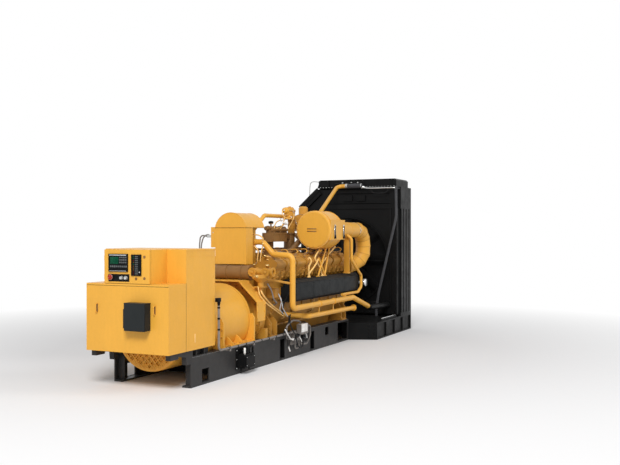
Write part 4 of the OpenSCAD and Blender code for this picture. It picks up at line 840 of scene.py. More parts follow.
def head_fittings():
    """Cover bolts, coils and leads on both banks, and water ports on the outer sides."""
    # bolts and port flanges in the engine yellow darkened by painted shade; coils and caps in the
    # yellow darkened by painted shade
    bolts = Shape("head_bolts", SHADED_ENGINE_YELLOW)
    coils = Shape("ignition_rails", SHADE_YELLOW)
    leads = Shape("ignition_leads", YELLOW, slot=None)
    ports = Shape("port_flanges", SHADED_ENGINE_YELLOW)
    caps = Shape("filler_caps", SHADE_YELLOW)
    rail_at, cover_top = (178, HEAD_H + 150), HEAD_H + ROCKER_H
    for side in (-1, 1):
        up = bank_axis(side)
        out = (bank_point(side, 0, -1, 0) - bank_point(side, 0, 0, 0)).normalized()
        for x in cylinder_places():
            for dx in (-150, -50, 50, 150):
                for across in (-146, 146):
                    bolts.bolt(bank_point(side, x + dx, across, HEAD_H + 14), up, 7.5)
            for dx in (-81.5, 81.5):
                bolts.bolt(bank_point(side, x + dx, -178, HEAD_H), up, 13)
                water = bank_point(side, x + dx, -200, 85)
                ports.lathe(water, out, [(-20, 22), (8, 22), (12, 15)], 14)
            exhaust = bank_point(side, x, -163, 80)
            ports.lathe(exhaust, out, [(-10, 48), (16, 48), (18, 42), (18, 30)], 20)
            for dx in (-40, 40):
                bolts.bolt(bank_point(side, x + dx, -181, 118), out, 7)
            coil = bank_point(side, x, 30, cover_top - 4)
            coils.lathe(coil, up, [(0, 30), (12, 30), (16, 20), (52, 20), (58, 14)], 18)
            top, end = coil + up * 58, bank_point(side, x + 90, *rail_at)
            bow = (top + end) / 2 + up * 40 + X * 12
            leads.tube([top, top + up * 30 + X * 20, bow, end], 7.5, 8)
            cap = bank_point(side, x - 100, -20, cover_top - 2)
            caps.lathe(cap, up, [(0, 24), (14, 24), (18, 18)], 8)
        first, last = cylinder_places()[0] - 120, cylinder_places()[-1] + 140
        coils.rod(bank_point(side, first, *rail_at), bank_point(side, last, *rail_at), 17, 12)
        for x in cylinder_places():
            foot = bank_point(side, x - 60, 160, HEAD_H + 10)
            coils.rod(foot, bank_point(side, x - 60, *rail_at), 6, 8)


def side_box_fittings():
    """Screws and rolled edges of the black covers along the engine, and their plugs."""
    for name, side in (("right", -1), ("left", 1)):
        low, high = lo("side_box_" + name), hi("side_box_" + name)
        y = side * max(abs(low.y), abs(high.y))
        screws = Shape("side_box_screws_" + name, PANEL)
        panel = (high.x - low.x) / 4
        for i in range(4):
            x0, x1 = low.x + i * panel + 30, low.x + (i + 1) * panel - 30
            for z in (low.z + 55, high.z - 70):
                screws.row((x0, y, z), (x1, y, z), 4, side * Y, 7.5, "screw")
        trim = Shape("side_box_trim_" + name, PANEL)
        for inset, z, r in ((48.5, high.z - 1, 4), (1, high.z - 50, 3)):
            trim.rod((low.x, y - side * inset, z), (high.x, y - side * inset, z), r, 8)
        for x in (low.x + 1, high.x - 1):
            trim.path([(x, y, low.z + 37), (x, y, high.z - 50), (x, y - side * 50, high.z),
                       (x, side * 535, high.z)], 3.5)
            trim.rod((x, y, low.z + 37), (x, y - side * 36, low.z), 3.5, 8)
    x = lo("side_box_right").x
    plugs = Shape("cover_plugs", WHITE)
    leads = Shape("cover_plug_leads", RUBBER)
    for i, (y, z) in enumerate(((-700, 1085), (-665, 1020), (-700, 945))):
        plugs.lathe((x + 1, y, z), -X, [(0, 15), (18, 15), (22, 11), (46, 11), (50, 8)], 14)
        leads.tube([(x - 45, y, z), (x - 75, y, z - 10), (x - 100, y + 30, z - 80),
                    (x - 110, -600 + 12 * i, 850), (x - 120, -575 + 12 * i, 660)], 6, 8)


def air_box_fittings():
    """Screws and seams of the air box, and the cables and pale tubes around it."""
    low, high = lo("air_box"), hi("air_box")
    half, rise = 260, 211
    x_end, spring = high.x - 20, high.z - rise
    bolts = Shape("air_box_screws", YELLOW)
    for side in (-1, 1):
        x, y, z = low.x + 26, side * (half + 6), spring - 4
        bolts.row((low.x + 50, y, z), (x_end - 30, y, z), 7, side * Y, 4.5, "screw")
        bolts.row((x, side * half, 1480), (x, side * half, spring - 60), 6, side * Y, 6, "screw")
    for z in (1462, spring - 45):
        bolts.row((low.x + 5.5, 30 - half, z), (low.x + 5.5, half - 30, z), 7, -X, 6, "screw")
    seam = Shape("hood_seams", YELLOW)
    radius = (half ** 2 + rise ** 2) / (2 * rise)
    limit = math.asin(half / radius)
    crown = Vector((0, 0, high.z - 1 - radius))
    arch = [crown + spoke(math.pi / 2 - limit * (i / 10 - 1)) * radius for i in range(21)]
    for x in (low.x + 6.5, x_end - 3):
        seam.tube([p + X * x for p in arch], 4.5, 8, 2)
    shade = Shape("hood_joint", DARK, slot=None)
    shade.box((low.x + 0.2, -half - 1.5, spring - 12.5), (x_end - 2, half + 1.5, spring - 8))
    # cables that leave the far side of the box and drop to the cabinet's back
    loops = Shape("rear_cables", GREY)
    for dy, dz in ((0, 0), (85, -12)):
        drop = [(405 + dy * 0.3, 1845 + dz), (440 + dy, 1868 + dz), (500 + dy * 0.8, 1845 + dz),
                (540 + dy * 0.5, 1780), (560 + dy * 0.3, 1640), (520, 1420), (460, 1230)]
        loops.tube([(-1250, y, z) for y, z in drop] + [(-1190, 440, 1185)], 10)
    clip = Shape("rear_cable_clip", STEEL, edge=2)
    clip.box((-1324.5, 325, 1825), (-1215, 415, 1865))
    clip.box((-1285, 335, 1845), (-1275, 345, 1905))
    # small pale tubes from the hood's neck to the fittings above the regulator
    tubes = Shape("gas_sense_tubes", CREAM)
    for r, route in (
        (10, [(-980, -118, 1862), (-1000, -200, 1868), (-1000, -290, 1858), (-1000, -352, 1815),
              (-990, -335, 1755)]),
        (11, [(-980, -118, 1722), (-1000, -200, 1702), (-1000, -270, 1630), (-1000, -262, 1520),
              (-980, -250, 1400), (-970, -240, 1360)]),
        (9, [(-990, -345, 1700), (-1000, -325, 1600), (-1000, -310, 1480), (-980, -300, 1370)]),
        (12, [(-1050, -400, 1555), (-930, -450, 1530), (-720, -460, 1475), (-550, -470, 1430),
              (-420, -500, 1375)]),
        (9, [(-1020, -430, 1500), (-880, -470, 1475), (-700, -490, 1400), (-620, -500, 1340)]),
    ):
        tubes.tube(route, r)
    unions = Shape("tube_unions", BRASS)
    for place, axis in (
        ((-980, -116, 1862), -Y), ((-980, -116, 1722), -Y), ((-990, -345, 1712), Z),
        ((-970, -240, 1350), Z), ((-980, -300, 1358), Z), ((-1050, -395, 1556), -Y),
    ):
        unions.lathe(place, axis, stud(18, 22, 13, 40), 6)


def regulator_fittings():
    """Bolts and fittings of the gas regulator, and the lines that leave it."""
    x, y, z = REGULATOR
    bolts = Shape("regulator_bolts", CAST)
    for dy in (-105, 105):
        for side in (-1, 1):
            end = (x + side * 70, y + dy, z)
            bolts.circle(end, side * X, 44, 6, 6)
            bolts.lathe(end, side * X, [(0, 26), (12, 26), (16, 18)], 6)
    bolts.circle((x, y, z - 84.8), -Z, 113, 10, 6)
    bolts.circle((x, y, z - 35.2), Z, 113, 10, 6)
    bolts.circle((x, INLET_Y, z), -Y, 52, 6, 6, start=30)
    brass = Shape("regulator_fittings", BRASS)
    brass.lathe((x - 100, y, z - 60), -X, [(0, 30), (20, 30), (26, 20), (50, 20), (55, 12)], 16)
    brass.lathe((x, y - 105, z + 54), Z, [(0, 20), (30, 20), (34, 28), (52, 28), (56, 20)], 16)
    brass.lathe((x, y + 105, z + 54), Z, stud(14, 40, 22, 60), 6)
    # oil and sensing lines from the regulator's bracket down to the rail
    lines = Shape("drain_line", CREAM)
    lines.tube([(X_FLY + 35, -470, 1130), (X_FLY - 20, -548, 1020), (X_FLY + 200, -556, 865),
                (X_FLY + 530, -560, 715), (X_FLY + 820, -560, 600), (X_FLY + 870, -520, 545),
                (X_FLY + 880, -455, 520)], 12)
    lines.tube([(-1420, -500, 1130), (-1470, -560, 1010), (-1328, -575, 895), (-1112, -580, 795),
                (-920, -580, 712), (-750, -575, 640), (-690, -500, 600)], 9)
    wires = Shape("regulator_cable", GREY)
    wires.tube([(X_FLY + 50, -590, 1165), (X_FLY + 130, -612, 1060), (X_FLY + 200, -615, 930),
                (X_FLY + 310, -606, 865), (X_FLY + 340, -520, 830), (X_FLY + 340, -470, 820)], 11)
    sleeves = Shape("sensor_sleeves", SLEEVE)
    sleeves.tube([(-1000, -612, 1000), (-996, -640, 941), (-964, -655, 850), (-947, -655, 790),
                  (-860, -650, 720), (-760, -640, 650)], 8)
    sleeves.tube([(-965, -612, 975), (-950, -635, 900), (-985, -640, 830), (-985, -630, 770),
                  (-900, -640, 700)], 6, 8)
    black = Shape("sensor_lead", RUBBER)
    black.tube([(-720, -640, 655), (-700, -640, 600), (-730, -630, 520), (-800, -625, 450),
                (-860, -625, 405)], 12)


def plenum_fittings():
    """Bolts, valve knobs, gauges and small tubes of the cluster between the banks."""
    # bolts in the yellow darkened by painted shade, like the plenum
    bolts = Shape("plenum_bolts", SHADE_YELLOW)
    for x in (-298, -112, -68, 118):
        for z in (PLENUM_Z0 + 28, PLENUM_Z1 - 28):
            bolts.bolt((x, -166, z), -Y, 6)
    bolts.row((-320, -160, PLENUM_Z1), (150, -160, PLENUM_Z1), 9, Z, 6)
    bolts.circle((460, -60, 1894), Z, 94, 10, 6)
    bolts.circle((460, -60, 1610), Z, 97, 12, 6)
    for x in (-210, -70):
        bolts.row((x, -45, BLOCK_TOP + 16), (x, 35, BLOCK_TOP + 16), 2, Z, 7)
    valve = Shape("valve_knobs", DARK)
    valve.lathe((-130, -30, PLENUM_Z1 + 145), Z,
                [(0, 20), (12, 40), (28, 42), (40, 30), (44, 12)], 20)
    valve.lathe((60, -120, PLENUM_Z1 + 71), Z, stud(12, 30, 22, 46), 12)
    valve.lathe((-20, -120, PLENUM_Z1 + 71), Z, stud(10, 22, 18, 36), 12)
    heads = Shape("gauge_heads", WHITE)
    for place, r in (((-205, -262, 2100), 22), ((-200, -300, 2052), 16), ((-205, -345, 2045), 24)):
        heads.lathe(place, Vector((-0.3, -1, 0.4)),
                    [(-24, r * 0.6), (-18, r), (14, r), (24, r * 0.7), (28, r * 0.3)], 16)
    arms = Shape("gauge_tubes", CREAM)
    for r, route in (
        (8, [(-205, -250, 2095), (-190, -170, 2070), (-180, -125, 2010), (-180, -120, 1967)]),
        (8, [(-200, -320, 2040), (-160, -240, 2000), (-120, -150, 1970), (-120, -122, 1966)]),
        (9, [(228, -112, 2166), (200, -116, 2180), (100, -150, 2100), (20, -160, 2020),
             (0, -130, 1955)]),
    ):
        arms.tube(route, r, 8)


def turbo_fittings():
    """Clamps and bolts of the turbocharger, the servo of its gate, and their lines."""
    y, z = TURBO_Y, TURBO_Z
    bands = Shape("turbo_clamps", BRIGHT)
    bands.clamp((930, y, z), X, 150.5, 18)
    bands.clamp((1175, y, z), X, 140.5, 18)
    bands.clamp((720, 0, z), X, 56.5)
    bolts = Shape("turbo_bolts", CAST)
    bolts.circle((600, 0, 2278), Z, 89, 8, 4.5)
    bolts.circle((600, 0, 2132), Z, 95.5, 8, 4.5)
    bolts.circle((1420, y, z), X, 75, 6, 9)
    bolts.circle((660, 0, BLOCK_TOP + 18), Z, 76, 8, 6)
    bolts.circle((1070, y, z), X, 125, 12, 7)
    servo = Shape("gate_servo", YELLOW, edge=1.5)
    can = [(0, 20), (4, 43), (52, 46), (56, 53), (66, 53), (70, 46), (112, 40), (118, 14),
           (400, 12)]
    servo.lathe((100, -150, 2255), X, can, 28)
    servo.circle((161, -150, 2255), -X, 49.5, 12, 3.5)
    servo.lathe((250, -190, 2150), Y, [(0, 30), (50, 34), (100, 34), (190, 20)], 20)
    servo.box((200, -165, 2120), (290, -60, 2145))
    unions = Shape("servo_unions", BRIGHT)
    for place, axis in (((100, -150, 2255), -X), ((250, -190, 2150), -Y),
                        ((440, -150, 2244), -Z), ((436, -52, 2166), -Y)):
        unions.lathe(place, axis, stud(14, 12, 9, 34, -4), 6)
    lines = Shape("servo_lines", CREAM)
    lines.tube([(68, -150, 2255), (20, -155, 2235), (0, -180, 2170), (60, -215, 2130),
                (160, -225, 2120), (245, -222, 2148)], 7, 8)
    lines.tube([(440, -150, 2214), (400, -180, 2190), (350, -190, 2120), (310, -170, 2050),
                (252, -133, 1945)], 8, 8)
    oil = Shape("turbo_oil_line", BRIGHT)
    oil.tube([(1125, -118, z + 20), (1125, -150, z - 30), (1100, -165, z - 200), (1060, -130, 1620),
              (1050, -80, 1440)], 12)


def canister_fittings():
    """Bands, latches and screws of the air canister, a painted highlight on its rim, and the tubes
    that cross below it.
    """
    x0, y, z, r = CAN_X, CAN_Y, CAN_Z, CAN_R
    bands = Shape("drum_bands", YELLOW)
    for x in (x0 + 85, x0 + 497):
        bands.ring((x, y, z), X, r + 6.2, 10, 1.5, 64)
    # pale ring round the front cover's rim: a painted highlight
    rim = Shape("cover_rim_highlight", CREAM)
    rim.ring((x0 + 21, y, z), X, r - 3, 6, 4, 72)
    # two draw latches on the service pad
    pad_y = y - r - 4
    latch = Shape("drum_latches", DARK, edge=3)
    wires = Shape("drum_latch_wires", BRIGHT)
    for x in (405, 765):
        latch.box((x - 18, pad_y - 16, 1845), (x + 18, pad_y + 1, 1985))
        latch.box((x - 14, pad_y - 26, 1800), (x + 14, pad_y + 1, 1860))
        latch.rod((x - 17, pad_y - 13, 1990), (x + 17, pad_y - 13, 1990), 10, 12)
        wires.path([(x + dx, pad_y - 10, up) for dx, up in (
            (-21, 1835), (-21, 2020), (21, 2020), (21, 1835))], 5)
    screws = Shape("drum_screws", YELLOW)
    screws.circle((x0 + 0.5, y, z), -X, r - 40, 16, 7)
    for up in (1800, 2090):
        screws.row((x0 + 50, pad_y, up), (x0 + 580, pad_y, up), 6, -Y, 6, "screw")
    # two pressed ribs on the front cover, in yellow darkened by painted shade
    ribs = Shape("cover_ribs", SHADE_YELLOW)
    for dz in (14, -26):
        ribs.rod((x0 - 1, y - 60, z + dz), (x0 - 1, y + 100, z + dz), 8.5, 8)
    fuel = Shape("injection_tubes", CREAM)
    for route in (
        [(502, -600, 1648), (330, -640, 1585), (224, -650, 1526), (205, -650, 1480),
         (278, -648, 1421), (410, -642, 1330), (534, -630, 1245), (534, -634, 1212)],
        [(363, -640, 1488), (290, -652, 1440), (197, -655, 1379), (100, -652, 1320),
         (20, -640, 1262), (20, -634, 1212)],
        [(120, -560, 1462), (120, -585, 1500), (114, -625, 1449), (40, -635, 1395),
         (-6, -640, 1352), (-6, -635, 1212)],
        [(1124, -600, 1660), (980, -630, 1625), (852, -640, 1581), (618, -640, 1469),
         (518, -635, 1391), (500, -620, 1300), (500, -633, 1212)],
        [(618, -640, 1469), (660, -630, 1430), (720, -600, 1400)],
    ):
        fuel.tube(route, 13)
    for x in (20, -6, 534, 500):
        fuel.lathe((x, -634, SIDE_TOP - 4), Z, stud(24, 14, 17, 34), 12)
    feet = Shape("rod_foot_bolts", STEEL)
    for x in (280, 320, 540, 580):
        feet.bolt((x, y - 60, SIDE_TOP + 14), Z, 6)


def duct_fittings():
    """Clamps, hoops and weld beads of the inlet duct, its sensor and its strut."""
    y, z, r = CAN_Y, CAN_Z, DUCT_R
    bands = Shape("duct_clamps", BRIGHT)
    bands.clamp((850, y, z), X, r + 1, 18)
    bands.clamp((1980, y, z), X, r + 1.2, 18)
    hoop = Shape("duct_hoops", YELLOW)
    for x in (1200, 1620):
        hoop.ring((x, y, z), X, r, 10, 4, 48)
    # weld beads at the mitre joints of the elbow, in the engine yellow darkened by painted shade
    seams = Shape("elbow_welds", SHADED_ENGINE_YELLOW)
    route = [Vector(p) for p in (
        (hi("air_canister").x, y, z), (2140, y, z), (2305, y, z - 45), (2402, y, z - 150),
        (2440, y, z - 290), (2440, y + 8, z - 430), (2402, y + 60, z - 545),
        (2310, y + 150, z - 625), (2158.5, -350, 1290))]
    for a, b, c in zip(route, route[1:], route[2:]):
        seams.ring(b, (b - a).normalized() + (c - b).normalized(), r + 2.2, 7, 3.2, 48)
    sensor = Shape("duct_sensor", BRIGHT)
    sensor.lathe((2655, y, 1640), Vector((1, 0, 0.3)), stud(24, 22, 16, 80), 12)
    wire = Shape("duct_sensor_lead", RUBBER)
    wire.tube([(2650, y, 1700), (2700, y, 1735), (2695, -600, 1660), (2640, -550, 1500),
               (2500, -470, 1360)], 7, 8)
    strut = Shape("strut_bolts", YELLOW)
    for x in (1472, 1542):
        for dy in (-95, -25):
            strut.bolt((x, y + dy, SIDE_TOP + 14), Z, 8)


# ---------------------------------------------------------------- pipes

def pipe_fittings():
    """Bands, hose clamps and bolts of the coolant pipes, and the lines on the top tank."""
    y, z = COOLANT_Y, COOLANT_Z
    bands = Shape("pipe_bands", YELLOW)
    clamps = Shape("hose_clamps", DARK, slot=None)
    clamps.clamp((X_BLOCK_END + 195, y, 569), Vector((0.962, 0, -0.274)), 50.5, 16)
    clamps.clamp((X_SHROUD - 35, y, 521.7), X, 50.5, 16)
    bolts = Shape("pipe_bolts", YELLOW)
    for x in (5, 558):
        bands.ring((x, y, z), X, 48.2, 10, 1.2, 32)
        for side in (1, -1):
            bolts.bolt((x, y - 2, z + side * 46.5), side * Z, 7)
    bolts.circle((X_BLOCK + 250, -130.3, 1760), -Y, 70, 6, 5.5)
    bolts.circle((hi("lower_pipe").x, -790, 600), X, 47, 6, 5)
    bolts.circle((X_BLOCK_END - 60, 20, lo("riser_pipe").z + 18), Z, 48, 6, 4.5)
    riser = Shape("riser_clamps", BRIGHT)
    x, z = X_SHROUD - 90, RAD_TOP + 24
    for y in (-30, -325):
        riser.clamp((x, y, z), Y, 45.5, 16)
    riser.ring((x, -4, z), Y, 46.2, 14, 1.5, 32)
    # plated pipe that carries on from the hose to the far corner of the tank
    line = Shape("tank_line", BRIGHT)
    line.tube([(x, y, z - drop) for y, drop in ((-340, 30), (-480, 50), (-760, 52), (-1000, 52))],
              12.5, 12)
    line.lathe((x, -335, z - 28), -Y, [(-10, 30), (30, 30), (40, 20), (60, 20)], 16)
    line.lathe((x, -985, z - 52), -Y, [(0, 19), (20, 19), (24, 15)], 6)
    thin = Shape("tank_sense_line", RUBBER)
    thin.tube([(x, -520, 2745), (x + 10, -530, 2690), (x + 10, -600, 2655), (x + 10, -780, 2655),
               (x + 10, -850, 2690), (x, -856, 2745)], 8)


# ---------------------------------------------------------------- radiator

def tank_fittings():
    """Bolts and plugs of the top tank, its overflow tube and its wiring."""
    low, high = lo("top_tank"), hi("top_tank")
    bolts = Shape("tank_bolts", STEEL)
    x, z = low.x + 3, RAD_TOP + 7
    bolts.row((x, low.y + 40, z), (x, high.y - 80, z), 26, -X, 7)
    x, z = low.x + 75, high.z - 8
    bolts.row((x, low.y + 100, z), (x, high.y - 200, z), 9, Z, 7)
    for y in (-220, -80, 100):
        bolts.lathe((low.x + 20, y, RAD_TOP + 90), -X, stud(18, 14, 12, 34, -10), 12)
    loop = Shape("overflow_tube", STEEL)
    drop = ((590, 2880), (660, 2906), (760, 2912), (812, 2880), (828, 2800), (833, 2700),
            (836, 2600), (812, 2572))
    loop.tube([(X_SHROUD + 30, y, z) for y, z in drop], 8)
    wires = Shape("tank_wiring", RUBBER)
    wires.tube([(low.x - 4, -300, 2870), (low.x - 20, -200, 2850), (low.x - 22, -50, 2865),
                (low.x - 20, 100, 2850), (low.x - 10, 260, 2862)], 8, 8)


def shroud_fittings():
    """Bolts and folds of the shroud, and the wire guard before the fan."""
    x, y = X_SHROUD, RAD_Y - 75
    low_z, high_z = BASE_H + 100, RAD_TOP - 85
    bolts = Shape("shroud_bolts", BLACK)
    bolts.row((x, -y, low_z), (x, -y, high_z), 15, -X, 9)
    bolts.row((x, y, low_z), (x, y, high_z - 400), 15, -X, 9)
    bolts.row((x, 120 - RAD_Y, low_z - 30), (x, RAD_Y - 120, low_z - 30), 13, -X, 9)
    bolts.circle((x, 0, FAN_Z), -X, 850, 32, 7)
    guard = Shape("fan_guard", BLACK)
    centre = Vector((x - 30, 0, FAN_Z))
    for i in range(19):
        guard.ring(centre, X, 90 + i * 41.5, 4, 4, 56)
    for i in range(12):
        out = spoke(2 * math.pi * i / 12)
        guard.rod(centre + X * 5 + out * 88, centre + X * 5 + out * 838, 4.5, 8)
    folds = Shape("shroud_folds", BLACK, edge=3)
    for y in (-880, 880):
        folds.box((x - 6, y - 12, BASE_H + 220), (x + 20, y + 12, 2360))
    for z in (2365, 2475):
        folds.box((x - 6, -900, z - 10), (x + 20, 400, z + 10))
    lead = Shape("level_lead", RUBBER)
    lead.tube([(x - 55, -655, 600), (x - 70, -590, 572), (x - 80, -500, 562), (x - 20, -420, 575),
               (x + 5, -400, 600)], 7, 8)


def frame_fittings():
    """Bolts of the radiator's frame and the stone guard over the rear of its core."""
    bolts = Shape("frame_bolts", BLACK)
    low_z = BASE_H + 120
    for side in (-1, 1):
        # down the grooves of the columns, with their heads below the outer face
        y = side * (RAD_Y - 22.5)
        for x in (X_RAD + 152, X_RAD + 322, X_RAD + 492):
            bolts.row((x, y, low_z), (x, y, RAD_TOP - 470), 11, side * Y, 8.5)
    x = X_END - 8.5
    for y, top in ((55 - RAD_Y, RAD_TOP - 100), (RAD_Y - 55, RAD_TOP - 420)):
        bolts.row((x, y, low_z), (x, y, top), 13, X, 8.5)
    for z, end, count in ((BASE_H + 55, RAD_Y - 150, 13), (RAD_TOP - 55, RAD_Y - 500, 10)):
        bolts.row((x, 150 - RAD_Y, z), (x, end, z), count, X, 8.5)
    guard = Shape("stone_guard", BLACK)
    x = X_END - 45
    y0, y1, z0, z1 = 110 - RAD_Y, RAD_Y - 110, BASE_H + 110, RAD_TOP - 110
    # the bars end along the frame's cut corner, which starts at cut_y and cut_z
    cut_y, cut_z = RAD_Y - 460, RAD_TOP - 456
    for i in range(44):
        z = z0 + 30 + (z1 - z0 - 60) * i / 43
        end = y1 if z < cut_z else y1 - (y1 - cut_y) * (z - cut_z) / (z1 - cut_z)
        guard.rod((x, y0, z), (x, end - 10, z), 4.5, 6)
    for i in range(7):
        y = y0 + (y1 - y0) * (i + 0.5) / 7
        top = z1 if y < cut_y else z1 - (z1 - cut_z) * (y - cut_y) / (y1 - cut_y)
        guard.box((x - 12, y - 14, z0), (x - 5, y + 14, top - 10))


def base_fittings():
    """Bright strip, bolts and corner welds of the radiator's base."""
    strip = Shape("deck_edge_strip", BRIGHT, edge=0.6)
    strip.box((2306, 38 - RAD_Y, BASE_H + 39.5), (X_RAD - 150, 54 - RAD_Y, BASE_H + 50))
    bolts = Shape("base_bolts", BLACK)
    seams = Shape("base_welds", BLACK)
    for side in (-1, 1):
        # fixings on the angled shoulder, in two rows
        for z in (50, 115, 180, 245):
            for share in (0.72, 0.9):
                p = Vector((X_SHOULDER + 200 * share, side * (580 + 470 * share), z))
                bolts.bolt(p, Vector((-0.47, side * 0.2, 0)), 10)
        y = side * (RAD_Y - 110)
        bolts.row((X_BASE + 400, y, BASE_H), (X_RAD - 60, y, BASE_H), 5, Z, 12)
        x, y = X_BASE - 3, side * (RAD_Y - 4.8)
        seams.rod((x, y, 5), (x, y, BASE_H - 2), 4.5, 6)
        x, y = X_SHOULDER + 0.3, side * 580.5
        seams.rod((x, y, 4), (x, y, BASE_H - 4), 4.5, 6)


# ---------------------------------------------------------------- skid

def skid_fittings():
    """Nuts under the feet, welds round the lifting tubes, the earth stud and a pale line along the
    rail's top edge, which is a painted highlight.
    """
    bolts = Shape("skid_nuts", RAIL)
    welds = Shape("tube_welds", RAIL)
    feet = (X_TALL_END + 300, X_TALL_END + 600, X_GEN_END - 100, X_BLOCK + 110, X_BLOCK + 210,
            X_BLOCK_END - 410, X_BLOCK_END - 310)
    for side in (-1, 1):
        for x in feet:
            bolts.bolt((x, side * 530, RAIL_TOP - 22), -Z, 14)
        y = side * (RAIL_Y - 1.8)
        for x0, x1 in ((-891.5, -736.5), (168.5, 323.5)):
            welds.path([(x0, y, 22), (x1, y, 22), (x1, y, 322), (x0, y, 322), (x0, y, 22)], 4.8, 6)
    earth = Shape("earth_stud", BRASS)
    earth.lathe((-3100, RAIL_Y, 300), Y, [(-2, 20), (6, 20), (8, 11), (22, 11)], 16)
    # thin pale rod on the right rail's top edge: a painted highlight
    wear_and_highlight = Shape("rail_edge_highlight", KEYS)
    y, z = 0.5 - RAIL_Y, RAIL_TOP - 0.8
    wear_and_highlight.rod((lo("rail_right").x + 30, y, z), (1740, y, z), 1.2, 6)


def unit_fittings():
    """Screws, breather and glands of the black electrical boxes on the rail, and a painted
    highlight before the breather.
    """
    low = lo("rail_unit")
    bolts = Shape("unit_screws", STEEL)
    for x in (low.x + 12, low.x + 298):
        bolts.row((x, low.y + 134, 80), (x, low.y + 134, 320), 3, -Y, 7)
    for x in (low.x + 55, low.x + 255):
        for z in (120, 230):
            bolts.screw((x, low.y, z), -Y, 6)
    can = Shape("breather_ribs", DARK)
    x, y = -2040, -RAIL_Y - 72.3
    for i in range(7):
        can.ring((x, y, 278 + 11 * i), Z, 35.5, 5, 3.5, 28)
    can.lathe((x, y, 357), Z, [(-2, 37), (6, 37), (10, 28), (14.2, 26.2)], 24)
    # small white rod before the breather: a painted highlight on its ribs
    highlight_rod = Shape("breather_highlight", WHITE)
    highlight_rod.lathe((-2125, y - 30, 290), Z, [(-28, 10), (4, 14), (60, 14), (66, 10)], 14)
    gland = Shape("unit_glands", DARK)
    for x in (-2150, -1930):
        gland.lathe((x, -RAIL_Y - 60, 85), -Z, stud(16, 20, 11, 40, -2), 12)


def harness_fittings():
    """Plugs, sleeves and leads of the wiring on the rail, and the ties of the conduit."""
    y, x0 = -RAIL_Y, -560
    box = Shape("plug_housing", WHITE, edge=5)
    box.box((x0 + 118, y - 142.5, 378), (x0 + 330, y - 70, 501.5))
    for x in (-410, -362, -314, -266):
        box.rod((x, y - 142.5, 388), (x, y - 142.5, 492), 2.5, 6)
    plugs = Shape("junction_plugs", DARK)
    for x, z in ((-510, 345), (-440, 345), (-310, 300), (-260, 300)):
        plugs.lathe((x, y - 70, z), -Y, [(-2, 24), (8, 24), (10, 18), (36, 18), (40, 13)], 14)
    # each point is (x, distance out from the rail, z)
    pale = Shape("pale_sleeves", WHITE)
    for r, sides, route in (
        (9.5, 10, [(-880, 80, 470), (-853, 85, 434), (-800, 90, 375), (-750, 90, 333),
                   (-690, 85, 302), (-625, 80, 290)]),
        (8.5, 10, [(-655, 80, 305), (-630, 85, 285), (-600, 85, 300)]),
        (9, 10, [(-790, 90, 205), (-765, 92, 165), (-735, 90, 128)]),
        (5.5, 8, [(-489, 125, 328), (-440, 128, 275), (-401, 125, 234)]),
        (5.5, 8, [(-248, 120, 345), (-222, 122, 305), (-204, 120, 265)]),
    ):
        pale.tube([(x, y - out, z) for x, out, z in route], r, sides, ribs=1)
    dark = Shape("harness_leads", RUBBER)
    for r, route in (
        (9, [(-430, 70, 340), (-520, 115, 320), (-660, 120, 400), (-740, 100, 520), (-700, 70, 620),
             (-600, 30, 660)]),
        (9, [(-300, 70, 300), (-220, 120, 240), (-120, 110, 300), (-100, 90, 420), (-170, 80, 500),
             (-280, 70, 520), (-360, 60, 500)]),
        (10, [(-500, 70, 340), (-560, 120, 240), (-500, 130, 160), (-380, 120, 150),
              (-300, 100, 210), (-280, 75, 280)]),
        (9, [(-600, 85, 300), (-560, 100, 310), (-520, 80, 335)]),
        (8, [(-800, 90, 360), (-830, 100, 280), (-810, 95, 220), (-790, 90, 200)]),
        (5.5, [(-600, 85, 285), (-550, 120, 310), (-510, 125, 335), (-485, 125, 322)]),
        (5.5, [(-401, 125, 234), (-360, 120, 200), (-320, 100, 230), (-310, 80, 280)]),
        (5.5, [(-248, 120, 345), (-270, 115, 372), (-280, 105, 385)]),
        (5.5, [(-204, 120, 265), (-200, 100, 220), (-240, 80, 240), (-260, 75, 280)]),
    ):
        dark.tube([(x, y - out, z) for x, out, z in route], r)
    ties = Shape("conduit_ties", DARK)
    x = X_TALL_END + 40
    for z in (660, 800, 940):
        ties.ring((x, CONDUIT_Y, z), Z, 15.2, 22, 3, 20)
    for i in range(9):
        ties.ring((-2450 + 220 * i, CONDUIT_Y, RAIL_TOP + 20), X, 15.2, 20, 2, 20)
    head = Shape("conduit_head", DARK, edge=4)
    head.box((x - 52, CONDUIT_Y - 22, 1015), (x + 24, CONDUIT_Y + 24, 1065))
    head.lathe((x, CONDUIT_Y, 1016), -Z, stud(22, 24, 17.5, 50, -2), 16)


# ---------------------------------------------------------------- far side and front

